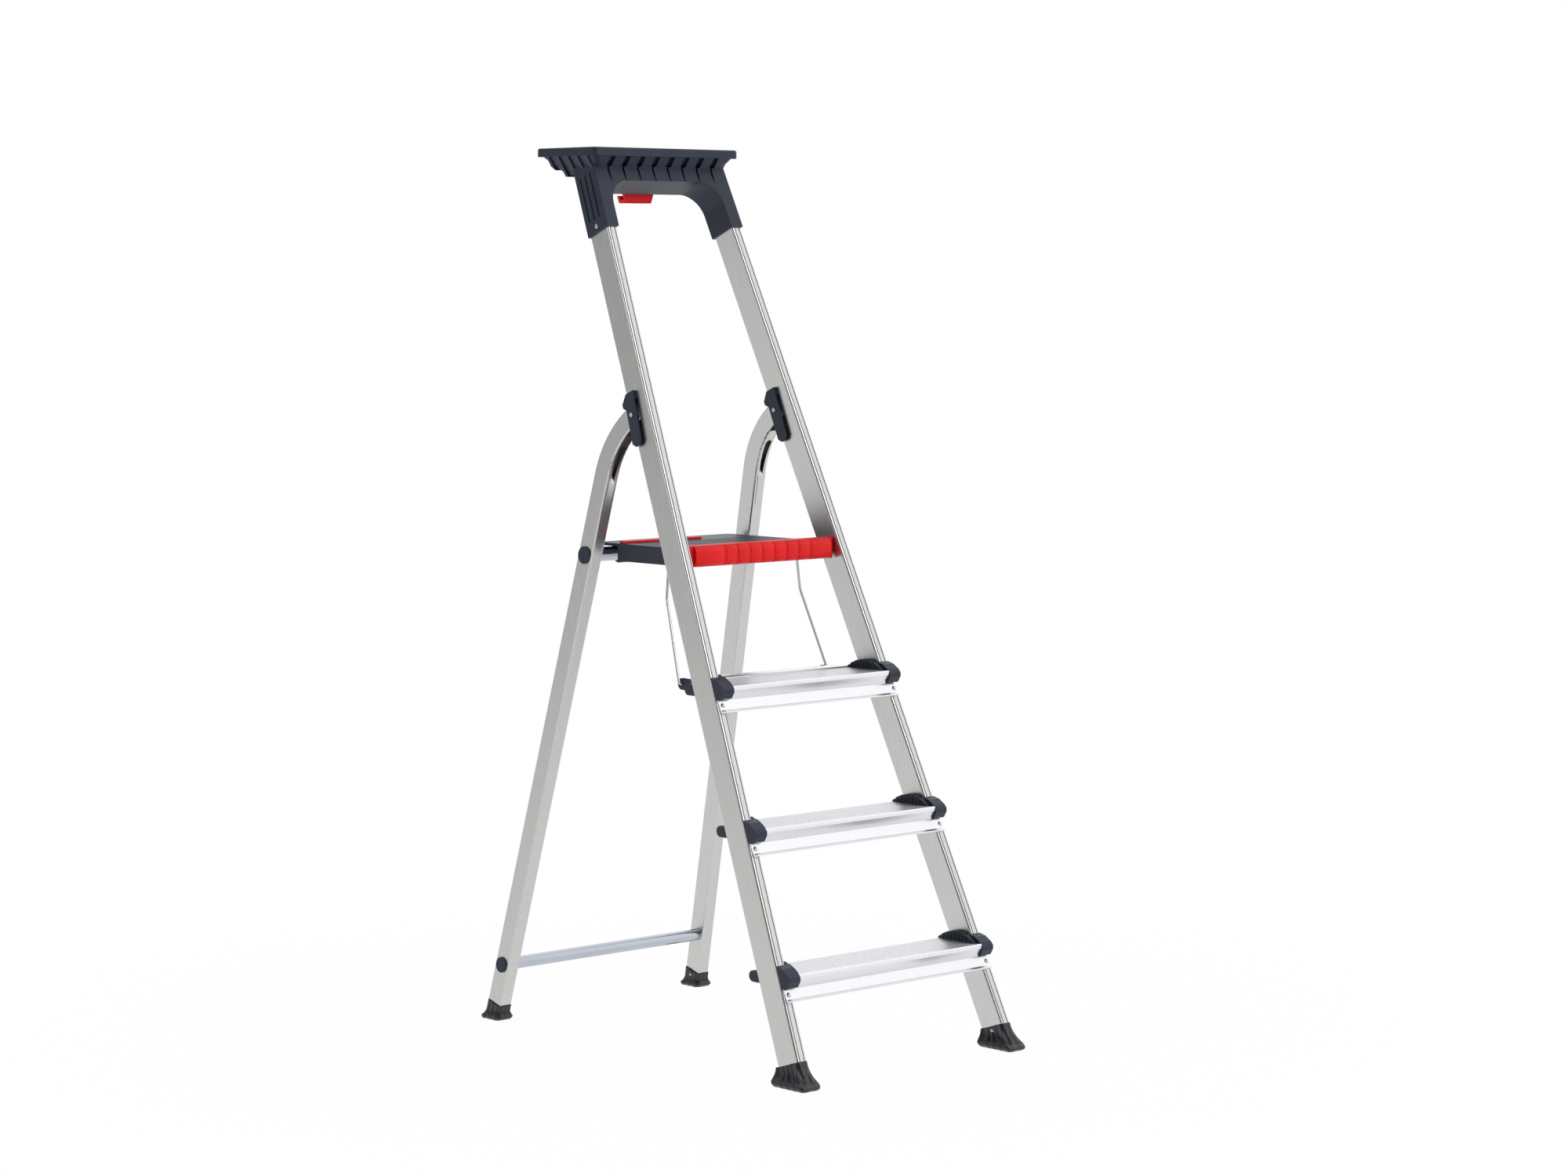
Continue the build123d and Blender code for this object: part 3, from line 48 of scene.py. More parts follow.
FRONT_LEAN = math.radians(23.3)
STILE_SPLAY = math.radians(3.6)
STREAK_ACROSS = 2.2 * MM  # real mill lines are near 0.1 mm, drawn coarser so that they show
STREAK_ALONG = 260 * MM
STREAK_DEPTH = 0.1 * MM
STREAK_STRENGTH = 0.03
STREAK_ROUGH = (-0.05, 0.07)
ANODISED = "#d6d6d5"
ANODISED_DULL = "#bebebd"
STILE_ROUGH = 0.3
# Sockets of a Mix node in colour mode, where names don't tell them apart
MIX_FIRST, MIX_SECOND, MIX_RESULT = 6, 7, 2


def linear(hex_colour):
    """An sRGB hex colour as linear RGBA."""
    parts = [int(hex_colour[place:place + 2], 16) / 255 for place in (1, 3, 5)]
    return [c / 12.92 if c <= 0.04045 else ((c + 0.055) / 1.055) ** 2.4 for c in parts] + [1.0]


def add_node(material, kind, links=None, values=None, **settings):
    """Add a node to a material, with its settings, socket values and incoming links."""
    node = material.node_tree.nodes.new(kind)
    for name, value in settings.items():
        setattr(node, name, value)
    for socket, value in (values or {}).items():
        node.inputs[socket].default_value = value
    for socket, (source, output) in (links or {}).items():
        material.node_tree.links.new(source.outputs[output], node.inputs[socket])
    return node


def new_material(name):
    """An empty material with a Principled shader, which is returned with it."""
    material = bpy.data.materials.new(name)
    material.use_nodes = True
    return material, material.node_tree.nodes["Principled BSDF"]


def drive(material, shader, socket, source, output):
    """Link a node's output to one of the shader's sockets."""
    material.node_tree.links.new(source.outputs[output], shader.inputs[socket])


def finish_node(node, material):
    """Give a CAD node its finish."""
    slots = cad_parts[node].data.materials
    slots.clear()
    slots.append(material)


def drawn_aluminium(name, tilt, dull, bright, rough):
    """Extruded aluminium: metal with streaks along a direction that is tilted from upright."""
    material, shader = new_material(name)
    place = add_node(material, "ShaderNodeTexCoord")
    turned = add_node(
        material, "ShaderNodeMapping", {"Vector": (place, "Object")},
        {"Rotation": tilt, "Scale": (1 / STREAK_ACROSS, 1 / STREAK_ACROSS, 1 / STREAK_ALONG)},
    )
    streaks = add_node(
        material, "ShaderNodeTexNoise", {"Vector": (turned, "Vector")},
        {"Scale": 1.0, "Detail": 3.0, "Roughness": 0.6},
    )
    shade = add_node(
        material, "ShaderNodeMix", {"Factor": (streaks, "Fac")},
        {MIX_FIRST: linear(dull), MIX_SECOND: linear(bright)}, data_type="RGBA",
    )
    gloss = add_node(
        material, "ShaderNodeMapRange", {"Value": (streaks, "Fac")},
        {"To Min": rough + STREAK_ROUGH[0], "To Max": rough + STREAK_ROUGH[1]},
    )
    relief = add_node(
        material, "ShaderNodeBump", {"Height": (streaks, "Fac")},
        {"Strength": STREAK_STRENGTH, "Distance": STREAK_DEPTH},
    )
    drive(material, shader, "Base Color", shade, MIX_RESULT)
    drive(material, shader, "Roughness", gloss, 0)
    drive(material, shader, "Normal", relief, 0)
    shader.inputs["Metallic"].default_value = 1.0
    return material


for hand, side in HANDS:
    stile_metal = drawn_aluminium(
        f"anodised_aluminium_stile_{hand}", (FRONT_LEAN, side * STILE_SPLAY, 0),
        ANODISED_DULL, ANODISED, STILE_ROUGH,
    )
    finish_node(f"stile_{hand}", stile_metal)

# The treads: ribbed aluminium extrusions that lie across the stiles, with an apron riveted to the
# front. The press leaves the streaks along the tread, and the ribs keep their mill finish.
TREADS = (1, 2, 3)
TREAD_ALUMINIUM = "#f2f2f5"
TREAD_DULL = "#e0e0e4"
TREAD_ROUGH = 0.3
tread_metal = drawn_aluminium(
    "mill_finish_aluminium_tread", (0, math.radians(90), 0),
    TREAD_DULL, TREAD_ALUMINIUM, TREAD_ROUGH,
)
for number in TREADS:
    finish_node(f"tread_{number}", tread_metal)

# The shelf behind the top tread: a shallow pan, folded from the same aluminium and closed below.
# It lies over the stay's eyes and makes the top tread deeper than the others.
SHELF_HALF = 176 * MM
SHELF_FRONT = -76 * MM
SHELF_REAR = -44 * MM
SHELF_BOTTOM = 640.1 * MM
SHELF_SHEET = 1.6 * MM
SHELF_LIP = 9 * MM
SHELF_FOLD = 2 * MM
FOLD_NARROW = 0.95
LIP_NARROW = 0.9
SHELF_SOFT = 0.5 * MM
SOFT_STEPS = 2
SHEET_CREASE = math.radians(40)


def apply_modifier(piece, name, kind, **settings):
    """Add a modifier with its settings to the active piece, and apply it."""
    modifier = piece.modifiers.new(name, kind)
    for setting, value in settings.items():
        setattr(modifier, setting, value)
    bpy.ops.object.modifier_apply(modifier=modifier.name)


bpy.ops.object.select_all(action="DESELECT")
bpy.ops.mesh.primitive_plane_add(size=1, location=(0, 0, 0))
shelf = bpy.context.object
shelf.name = "top_tread_shelf"
bpy.ops.object.mode_set(mode="EDIT")
bpy.ops.transform.resize(
    value=(2 * SHELF_HALF, SHELF_REAR - SHELF_FRONT, 1), center_override=(0, 0, 0)
)
bpy.ops.transform.translate(
    value=(0, (SHELF_REAR + SHELF_FRONT) / 2, SHELF_BOTTOM + SHELF_SHEET)
)
bpy.ops.mesh.extrude_region_move(
    TRANSFORM_OT_translate={"value": (0, SHELF_FOLD, -SHELF_FOLD)}
)
bpy.ops.transform.resize(value=(FOLD_NARROW, 1, 1), center_override=(0, 0, 0))
bpy.ops.mesh.extrude_region_move(TRANSFORM_OT_translate={"value": (0, 0, -SHELF_LIP)})
bpy.ops.transform.resize(value=(LIP_NARROW, 1, 1), center_override=(0, 0, 0))
bpy.ops.object.mode_set(mode="OBJECT")
apply_modifier(shelf, "sheet_thickness", "SOLIDIFY", thickness=SHELF_SHEET, offset=-1.0)
apply_modifier(shelf, "soft_edges", "BEVEL", width=SHELF_SOFT, segments=SOFT_STEPS)
bpy.ops.object.shade_smooth_by_angle(angle=SHEET_CREASE)
shelf.data.materials.append(tread_metal)
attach(shelf, "front_frame")

# The tread ends, hinge brackets, plugs, deck and the bow with its tray: black glass-filled nylon,
# moulded with a fine spark-eroded grain that scatters the light into a slate grey.
NYLON = "#182133"
NYLON_WORN = "#202a3d"
NYLON_ROUGH = 0.42
NYLON_GRAIN = 0.12 * MM
NYLON_SHEEN = 0.34
GRAIN = 0.9 * MM  # real grain is near 0.2 mm, drawn coarser so that it shows
GRAIN_STRENGTH = 0.25
FLOW = 70 * MM
FLOW_SPAN = (0.3, 0.7)
FLOW_ROUGH = (-0.06, 0.08)
EDGE_ROUND = 0.7 * MM
EDGE_SAMPLES = 6
PLASTIC_IOR = 1.52


def moulded_plastic(name, base, worn, rough, grain_depth, sheen):
    """A moulded thermoplastic: slow colour drift from the flow, and a fine even grain."""
    material, shader = new_material(name)
    place = add_node(material, "ShaderNodeTexCoord")
    flow = add_node(
        material, "ShaderNodeTexNoise", {"Vector": (place, "Object")},
        {"Scale": 1 / FLOW, "Detail": 4.0},
    )
    grain = add_node(
        material, "ShaderNodeTexNoise", {"Vector": (place, "Object")},
        {"Scale": 1 / GRAIN, "Detail": 2.0},
    )
    drift = add_node(
        material, "ShaderNodeMapRange", {"Value": (flow, "Fac")},
        {"From Min": FLOW_SPAN[0], "From Max": FLOW_SPAN[1]},
    )
    shade = add_node(
        material, "ShaderNodeMix", {"Factor": (drift, 0)},
        {MIX_FIRST: linear(base), MIX_SECOND: linear(worn)}, data_type="RGBA",
    )
    gloss = add_node(
        material, "ShaderNodeMapRange", {"Value": (flow, "Fac")},
        {"To Min": rough + FLOW_ROUGH[0], "To Max": rough + FLOW_ROUGH[1]},
    )
    edge = add_node(
        material, "ShaderNodeBevel", values={"Radius": EDGE_ROUND}, samples=EDGE_SAMPLES
    )
    relief = add_node(
        material, "ShaderNodeBump", {"Height": (grain, "Fac"), "Normal": (edge, 0)},
        {"Strength": GRAIN_STRENGTH, "Distance": grain_depth},
    )
    drive(material, shader, "Base Color", shade, MIX_RESULT)
    drive(material, shader, "Roughness", gloss, 0)
    drive(material, shader, "Normal", relief, 0)
    shader.inputs["IOR"].default_value = PLASTIC_IOR
    shader.inputs["Specular IOR Level"].default_value = sheen
    return material


nylon = moulded_plastic(
    "glass_filled_nylon_black", NYLON, NYLON_WORN, NYLON_ROUGH, NYLON_GRAIN, NYLON_SHEEN
)
for hand, _ in HANDS:
    for number in TREADS:
        finish_node(f"tread_end_{number}_{hand}", nylon)
    finish_node(f"hinge_bracket_{hand}", nylon)
for node in ("platform_tube_plugs", "cross_tube_plugs", "platform_deck", "handle_tray"):
    finish_node(node, nylon)

# The grip ribs on the tread ends: slanted ribs of the same nylon on the inner face of each hump,
# where a boot could slip sideways. One rib is shaped and copied along the hump's arc.
RIB_DEEP = 2.4 * MM
RIB_WIDE = 2.2 * MM
RIB_TALL = 10 * MM
RIB_ROUND = 0.5 * MM
RIB_COUNT = 7
RIB_FIRST = 6 * MM
RIB_PITCH = 9 * MM
RIB_LEAN = math.radians(24)
RIB_FOOT = 1.5 * MM
RIB_CROWN = 3.5 * MM
RIB_CREASE = math.radians(40)
HUMP_IN = 8 * MM
HUMP_ARC = 69.2 * MM
HUMP_MIDDLE = (31 * MM, -53.2 * MM)
# Each tread's top, its front edge and the inner face of its end, in millimetres
TREAD_ENDS = ((182.0, -343.14, 212.305), (410.8, -244.6, 196.632), (639.6, -146.06, 180.959))
bpy.ops.object.select_all(action="DESELECT")
bpy.ops.mesh.primitive_cube_add(size=1, location=(0, 0, 0))
rib = bpy.context.object
bpy.ops.object.mode_set(mode="EDIT")
bpy.ops.transform.resize(value=(RIB_DEEP, RIB_WIDE, RIB_TALL), center_override=(0, 0, 0))
bpy.ops.mesh.bevel(offset=RIB_ROUND, segments=SOFT_STEPS)
bpy.ops.object.mode_set(mode="OBJECT")
for number, (top, front, inner) in zip(TREADS, TREAD_ENDS):
    for hand, side in HANDS:
        row = []
        for step in range(RIB_COUNT):
            bpy.ops.object.select_all(action="DESELECT")
            rib.select_set(True)
            bpy.context.view_layer.objects.active = rib
            bpy.ops.object.duplicate()
            copy = bpy.context.object
            back = RIB_FIRST + step * RIB_PITCH
            arc = HUMP_MIDDLE[1] + math.sqrt(HUMP_ARC ** 2 - (back - HUMP_MIDDLE[0]) ** 2)
            tall = arc - RIB_CROWN - RIB_FOOT
            copy.location = (
                side * (inner * MM - HUMP_IN), front * MM + back, top * MM + RIB_FOOT + tall / 2
            )
            copy.rotation_euler = (RIB_LEAN, 0, 0)
            copy.scale = (1, 1, tall / RIB_TALL)
            row.append(copy)
        bpy.ops.object.select_all(action="DESELECT")
        for copy in row:
            copy.select_set(True)
        bpy.context.view_layer.objects.active = row[0]
        bpy.ops.object.join()
        ribs = bpy.context.object
        ribs.name = f"tread_end_{number}_{hand}_ribs"
        bpy.ops.object.transform_apply(location=True, rotation=True, scale=True)
        bpy.ops.object.shade_smooth_by_angle(angle=RIB_CREASE)
        ribs.data.materials.append(nylon)
        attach(ribs, "front_frame")
bpy.ops.object.select_all(action="DESELECT")
rib.select_set(True)
bpy.ops.object.delete()

# The rear legs: box tubes of the same aluminium as the stiles, a little duller.
# They are bent forward at the top, forked over the stiles and hung there on the hinge pins.
LEG_LEAN = math.radians(-13.6)
LEG_ROUGH = 0.33
leg_metals = {}
for hand, side in HANDS:
    leg_metals[hand] = drawn_aluminium(
        f"anodised_aluminium_leg_{hand}", (LEG_LEAN, side * STILE_SPLAY, 0),
        ANODISED_DULL, ANODISED, LEG_ROUGH,
    )
    finish_node(f"rear_leg_{hand}", leg_metals[hand])

# The pressings in the rear legs: where the tube bends, its front wall is pushed in to a long dent,
# which runs out below in a flat tongue with a dished end. The tongue is the tube's own aluminium,
# and its sides go down inside the tube.
BEND_PLACE = (172.885 * MM, 151.144 * MM, 972.764 * MM)
BEND_UP = (-0.062791, -0.234678, 0.970043)
BEND_FRONT = (0, -0.971961, -0.235142)
TONGUE_HALF = 5.5 * MM
TONGUE_LOW = -61 * MM
TONGUE_HIGH = -8 * MM
TONGUE_PROUD = 0.25 * MM
TONGUE_SHEET = 0.8 * MM
TONGUE_CREASE = math.radians(50)
# How far each step of the dished end goes up and in, and how much narrower it gets
DISH_STEPS = ((4 * MM, 1.2 * MM, 0.96), (5 * MM, 3.4 * MM, 0.9), (5 * MM, 5 * MM, 0.75))
for hand, side in HANDS:
    bpy.ops.object.select_all(action="DESELECT")
    bpy.ops.mesh.primitive_plane_add(size=1, location=(0, 0, 0))
    tongue = bpy.context.object
    tongue.name = f"leg_pressing_{hand}"
    bpy.ops.object.mode_set(mode="EDIT")
    bpy.ops.transform.resize(
        value=(2 * TONGUE_HALF, TONGUE_HIGH - TONGUE_LOW, 1), center_override=(0, 0, 0)
    )
    bpy.ops.transform.translate(value=(0, (TONGUE_HIGH + TONGUE_LOW) / 2, TONGUE_PROUD))
    for rise, sink, narrow in DISH_STEPS:
        bpy.ops.mesh.extrude_region_move(TRANSFORM_OT_translate={"value": (0, rise, -sink)})
        bpy.ops.transform.resize(value=(narrow, 1, 1), center_override=(0, 0, 0))
    bpy.ops.object.mode_set(mode="OBJECT")
    apply_modifier(tongue, "sheet_thickness", "SOLIDIFY", thickness=TONGUE_SHEET, offset=-1.0)
    along = Vector((side * BEND_UP[0], *BEND_UP[1:]))
    outward = Vector(BEND_FRONT)
    across = along.cross(outward)
    seat = Matrix((across, along, outward)).transposed().to_4x4()
    seat.translation = (side * BEND_PLACE[0], *BEND_PLACE[1:])
    tongue.matrix_world = seat
    bpy.ops.object.transform_apply(location=True, rotation=True, scale=True)
    bpy.ops.object.shade_smooth_by_angle(angle=TONGUE_CREASE)
    tongue.data.materials.append(leg_metals[hand])
    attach(tongue, "rear_frame")

# The two tubes between the rear legs: cold-drawn steel, zinc plated.
# The plating is smooth and a little blue, with cloudy patches.
ZINC = "#c0c6ce"
ZINC_CLOUD = "#b2b8c1"
ZINC_ROUGH = 0.24
PLATING_PATCH = 60 * MM
PLATING_ROUGH = (-0.06, 0.08)


def plated_steel(name, base, cloud, rough):
    """Plated steel: metal with cloudy patches in the plating."""
    material, shader = new_material(name)
    place = add_node(material, "ShaderNodeTexCoord")
    patches = add_node(
        material, "ShaderNodeTexNoise", {"Vector": (place, "Object")},
        {"Scale": 1 / PLATING_PATCH, "Detail": 3.0},
    )
    shade = add_node(
        material, "ShaderNodeMix", {"Factor": (patches, "Fac")},
        {MIX_FIRST: linear(cloud), MIX_SECOND: linear(base)}, data_type="RGBA",
    )
    gloss = add_node(
        material, "ShaderNodeMapRange", {"Value": (patches, "Fac")},
        {"To Min": rough + PLATING_ROUGH[0], "To Max": rough + PLATING_ROUGH[1]},
    )
    drive(material, shader, "Base Color", shade, MIX_RESULT)
    drive(material, shader, "Roughness", gloss, 0)
    shader.inputs["Metallic"].default_value = 1.0
    return material


zinc = plated_steel("zinc_plated_steel", ZINC, ZINC_CLOUD, ZINC_ROUGH)
for node in ("platform_tube", "cross_tube"):
    finish_node(node, zinc)

# The wire stay: one bent rod of bright-drawn steel, brighter than the tubes.
# Its ends turn in eyes at the top tread, and its crossbar lies in the deck's keepers.
WIRE = "#d2d3d5"
WIRE_DULL = "#c0c1c4"
WIRE_ROUGH = 0.35
finish_node("stay_wire", plated_steel("bright_drawn_wire", WIRE, WIRE_DULL, WIRE_ROUGH))

# The rivets, hinge pins and rest pins: bright steel, cut from rod, with small sharp glints.
# The rivets' heads are upset cold, and the pins sit in drilled holes.
RIVET = "#c4c6c9"
RIVET_DULL = "#aeb0b4"
RIVET_ROUGH = 0.26
rivet_steel = plated_steel("bright_steel_rivet", RIVET, RIVET_DULL, RIVET_ROUGH)
for node in (
    "tread_rivets", "bow_rivets", "front_shoe_rivets", "rear_shoe_rivets", "platform_rest_pins",
    "hinge_pin_left", "hinge_pin_right",
):
    finish_node(node, rivet_steel)

# The platform's front bar: red ABS, moulded through in colour, with a full round front that a hand
# can grip, eight scallops, and ends that are set back and notched over the rest pins. The toe strip
# and the bucket hook are moulded in the same red, whose satin skin spreads the light softly.
RED = "#ea0f14"
RED_DEEP = "#dc0c11"
RED_ROUGH = 0.42
RED_GRAIN = 0.05 * MM
RED_SHEEN = 0.22
BAR_HALF = 168 * MM
GRIP_HALF = 157 * MM
BAR_FRONT = -49.6 * MM
BAR_BACK = -23.65 * MM
BAR_LOW = 829 * MM
BAR_HIGH = 866 * MM
BAR_ROUND = 13 * MM
BAR_ROUND_STEPS = 8
BAR_SOFT = 0.8 * MM
BAR_SOFT_ANGLE = math.radians(40)
BAR_CREASE = math.radians(35)
END_FRONT = -40.6 * MM
END_FACING = 0.9
PIN_FRONT = -35.75 * MM
PIN_TOP = BAR_LOW + 13 * MM
SCALLOPS = 8
SCALLOP_PITCH = 28.3 * MM
SCALLOP_MIDDLE = 10 * MM
SCALLOP_HALF = 5 * MM
SCALLOP_DEPTH = 2.2 * MM
ON_PLANE = 0.1 * MM
red_abs = moulded_plastic("moulded_abs_red", RED_DEEP, RED, RED_ROUGH, RED_GRAIN, RED_SHEEN)
for node in ("platform_toe_strip", "bucket_hook"):
    finish_node(node, red_abs)


def select_edit(mesh_object, kind, test):
    """In edit mode, select only the vertices, edges or faces that pass a test."""
    bpy.ops.mesh.select_mode(type=kind)
    bpy.ops.mesh.select_all(action="DESELECT")
    shape = bmesh.from_edit_mesh(mesh_object.data)
    for element in {"VERT": shape.verts, "EDGE": shape.edges, "FACE": shape.faces}[kind]:
        element.select_set(test(element))
    bmesh.update_edit_mesh(mesh_object.data)


def cut_through(point, normal):
    """In edit mode, cut an edge loop through the whole mesh."""
    bpy.ops.mesh.select_all(action="SELECT")
    bpy.ops.mesh.bisect(plane_co=point, plane_no=normal)


def is_front_edge(edge):
    """Whether an edge runs along the bar's front."""
    low, high = edge.verts
    in_front = max(low.co.y, high.co.y) < BAR_FRONT + MM
    return in_front and abs(low.co.x - high.co.x) > GRIP_HALF


def is_end_face(face):
    """Whether a face of the bar's end goes on past the grip, clear of the pin's notch."""
    middle = face.calc_center_median()
    over_notch = middle.y < PIN_FRONT or middle.z > PIN_TOP
    return abs(face.normal.x) > END_FACING and middle.y > END_FRONT and over_notch


bpy.ops.object.select_all(action="DESELECT")
bpy.ops.mesh.primitive_cube_add(size=1, location=(0, 0, 0))
bar = bpy.context.object
bar.name = "platform_front_bar_grip"
bpy.ops.object.mode_set(mode="EDIT")
bpy.ops.transform.resize(
    value=(2 * GRIP_HALF, BAR_BACK - BAR_FRONT, BAR_HIGH - BAR_LOW), center_override=(0, 0, 0)
)
bpy.ops.transform.translate(value=(0, (BAR_BACK + BAR_FRONT) / 2, (BAR_HIGH + BAR_LOW) / 2))
select_edit(bar, "EDGE", is_front_edge)
bpy.ops.mesh.bevel(offset=BAR_ROUND, segments=BAR_ROUND_STEPS)
for y in (END_FRONT, PIN_FRONT):
    cut_through((0, y, 0), (0, 1, 0))
cut_through((0, 0, PIN_TOP), (0, 0, 1))
select_edit(bar, "FACE", is_end_face)
bpy.ops.mesh.extrude_region_move(TRANSFORM_OT_translate={"value": (0, 0, 0)})
bpy.ops.transform.resize(value=(BAR_HALF / GRIP_HALF, 1, 1), center_override=(0, 0, 0))
for scallop in range(SCALLOPS):
    middle = SCALLOP_MIDDLE + (scallop - (SCALLOPS - 1) / 2) * SCALLOP_PITCH
    for x in (middle - SCALLOP_HALF, middle, middle + SCALLOP_HALF / 2):
        cut_through((x, 0, 0), (1, 0, 0))
    select_edit(
        bar, "VERT",
        lambda v: abs(v.co.x - middle) < ON_PLANE and v.co.y < BAR_FRONT + BAR_ROUND / 2,
    )
    bpy.ops.transform.translate(value=(0, SCALLOP_DEPTH, 0))
bpy.ops.object.mode_set(mode="OBJECT")
apply_modifier(
    bar, "soft_edges", "BEVEL", width=BAR_SOFT, segments=SOFT_STEPS, angle_limit=BAR_SOFT_ANGLE
)
bpy.ops.object.shade_smooth_by_angle(angle=BAR_CREASE)
bar.data.materials.append(red_abs)
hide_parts("platform_front_bar")
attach(bar, "platform")

# The shoes: black rubber compound, moulded with deep flutes over a flaring skirt and a lobed rim.
# Each is pushed on to the end of a stile or leg and held there by a sunk rivet. The rubber is a dull
# black that dust greys in patches.
RUBBER = "#12131a"
RUBBER_DUSTY = "#1a1c25"
RUBBER_ROUGH = 0.34
RUBBER_GRAIN = 0.06 * MM
RUBBER_SHEEN = 0.55
SHOE_WALL = 1.9 * MM
SHOE_LIP = 0.5 * MM
SHOE_CORNER = 9 * MM
SHOE_CREASE = math.radians(50)
CORNER_POINTS = 24
FLUTE_PITCH = 15 * MM
FLUTE_POINTS = 4
FLUTE_WIDE = 0.4
FLUTE_DEPTH = (0.3, 0.16)
LOBE_DEPTH = (0.06, 0.04)
LOBE_TOP = 0.1
RIM_TOP = 0.2
SOLE_ROUND = 0.88
SOCKET = 20 * MM
# Height of each ring over the crown's height, and its share of the flare
SKIRT_RINGS = (
    (0.06, 0.96), (0.13, 1.04), (0.19, 1.02), (0.25, 0.86), (0.34, 0.62),
    (0.46, 0.36), (0.6, 0.17), (0.8, 0.06), (1.0, 0.0),
)
CROWN_OVER = 4 * MM
# The beam's section, its foot on the floor and its lean, how far the skirt flares to the sides, the
# toe and the heel, and the height of the cut at the front and rear. Lengths are in millimetres.
SHOES = {
    "front": (
        "front_frame", (20.0, 51.0), (240.5, -421.52), FRONT_LEAN, (12.0, 10.0, 16.0), (47.0, 31.0)
    ),
    "rear": (
        "rear_frame", (25.0, 36.0), (235.9, 386.48), LEG_LEAN, (7.0, 8.0, 8.0), (27.0, 37.0)
    ),
}
shoe_rubber = moulded_plastic(
    "moulded_rubber_black", RUBBER, RUBBER_DUSTY, RUBBER_ROUGH, RUBBER_GRAIN, RUBBER_SHEEN
)


def mould_shoe(node, body, sole, neck, slant):
    """A fluted shoe, from its sole's and neck's middle and size to the slanted cut at its top."""
    (sole_x, sole_y), sole_size = sole
    (neck_x, neck_y, crown), neck_size = neck
    cut_point, cut_normal, socket = slant

    def middle_at(height):
        return (
            sole_x + (neck_x - sole_x) * height, sole_y + (neck_y - sole_y) * height,
            crown * height,
        )

    bpy.ops.object.select_all(action="DESELECT")
    bpy.ops.mesh.primitive_circle_add(
        vertices=CORNER_POINTS, radius=SHOE_CORNER, fill_type="NGON", location=(0, 0, 0)
    )
    shoe = bpy.context.object
    shoe.name = f"{node}_rubber"
    bpy.ops.object.mode_set(mode="EDIT")
    bpy.ops.transform.rotate(
        value=math.pi / CORNER_POINTS, orient_axis="Z", center_override=(0, 0, 0)
    )
    for right, back in ((-1, -1), (-1, 1), (1, -1), (1, 1)):
        select_edit(shoe, "VERT", lambda v: v.co.x * right > 0 and v.co.y * back > 0)
        move = [sign * (size / 2 - SHOE_CORNER) for sign, size in zip((right, back), sole_size)]
        bpy.ops.transform.translate(value=(*move, 0))
    bpy.ops.mesh.select_all(action="SELECT")
    bpy.ops.transform.translate(value=(sole_x, sole_y, 0))
    for axis in (0, 1):
        run = sole_size[axis] - 2 * SHOE_CORNER
        select_edit(
            shoe, "EDGE", lambda e: abs(e.verts[0].co[axis] - e.verts[1].co[axis]) > run / 2
        )
        bpy.ops.mesh.subdivide(number_cuts=round(FLUTE_POINTS * run / FLUTE_PITCH) - 1)

    # The skirt goes up ring by ring from the sole
    select_edit(shoe, "FACE", lambda f: True)
    bpy.ops.transform.resize(
        value=(SOLE_ROUND, SOLE_ROUND, 1), center_override=(sole_x, sole_y, 0)
    )
    before = (0.0, SOLE_ROUND * sole_size[0], SOLE_ROUND * sole_size[1])
    for height, flare in SKIRT_RINGS:
        step = height - before[0]
        wide = neck_size[0] + flare * (sole_size[0] - neck_size[0])
        long = neck_size[1] + flare * (sole_size[1] - neck_size[1])
        move = ((neck_x - sole_x) * step, (neck_y - sole_y) * step, crown * step)
        bpy.ops.mesh.extrude_region_move(TRANSFORM_OT_translate={"value": move})
        bpy.ops.transform.resize(
            value=(wide / before[1], long / before[2], 1), center_override=middle_at(height)
        )
        before = (height, wide, long)

    # The flutes go in as far as the neck, and leave a smooth rim over the lobes
    flutes = 2 * round((sole_size[0] + sole_size[1] - 4 * SHOE_CORNER) / FLUTE_PITCH) + 4
    for height, flare in ((0.0, 1.0), *SKIRT_RINGS[:-1]):
        if LOBE_TOP < height < RIM_TOP:
            continue
        middle = middle_at(height)

        def in_flute(vertex):
            if abs(vertex.co.z - middle[2]) > ON_PLANE:
                return False
            turn = math.atan2(
                (vertex.co.y - middle[1]) / sole_size[1], (vertex.co.x - middle[0]) / sole_size[0]
            )
            return math.cos(flutes * turn) < FLUTE_WIDE

        select_edit(shoe, "VERT", in_flute)
        deep = LOBE_DEPTH if height < LOBE_TOP else FLUTE_DEPTH
        shrink = [
            max(1 - share, least / (least + flare * (most - least)))
            for share, least, most in zip(deep, neck_size, sole_size)
        ]
        bpy.ops.transform.resize(value=(*shrink, 1), center_override=middle)

    # The cut at the top, with the socket sunk into it
    bpy.ops.mesh.select_all(action="SELECT")
    bpy.ops.mesh.bisect(
        plane_co=cut_point, plane_no=cut_normal, use_fill=True, clear_outer=True
    )
    upright = Vector(cut_normal).normalized()
    select_edit(
        shoe, "FACE",
        lambda f: all(abs((v.co - Vector(cut_point)).dot(upright)) < ON_PLANE for v in f.verts),
    )
    bpy.ops.mesh.inset(thickness=SHOE_LIP)
    bpy.ops.mesh.extrude_region_move(TRANSFORM_OT_translate={"value": socket})
    bpy.ops.mesh.select_all(action="SELECT")
    bpy.ops.mesh.normals_make_consistent(inside=False)
    bpy.ops.object.mode_set(mode="OBJECT")
    apply_modifier(shoe, "smooth_moulding", "SUBSURF", levels=1, render_levels=1)
    bpy.ops.object.shade_smooth_by_angle(angle=SHOE_CREASE)
    shoe.data.materials.append(shoe_rubber)
    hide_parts(node)
    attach(shoe, body)


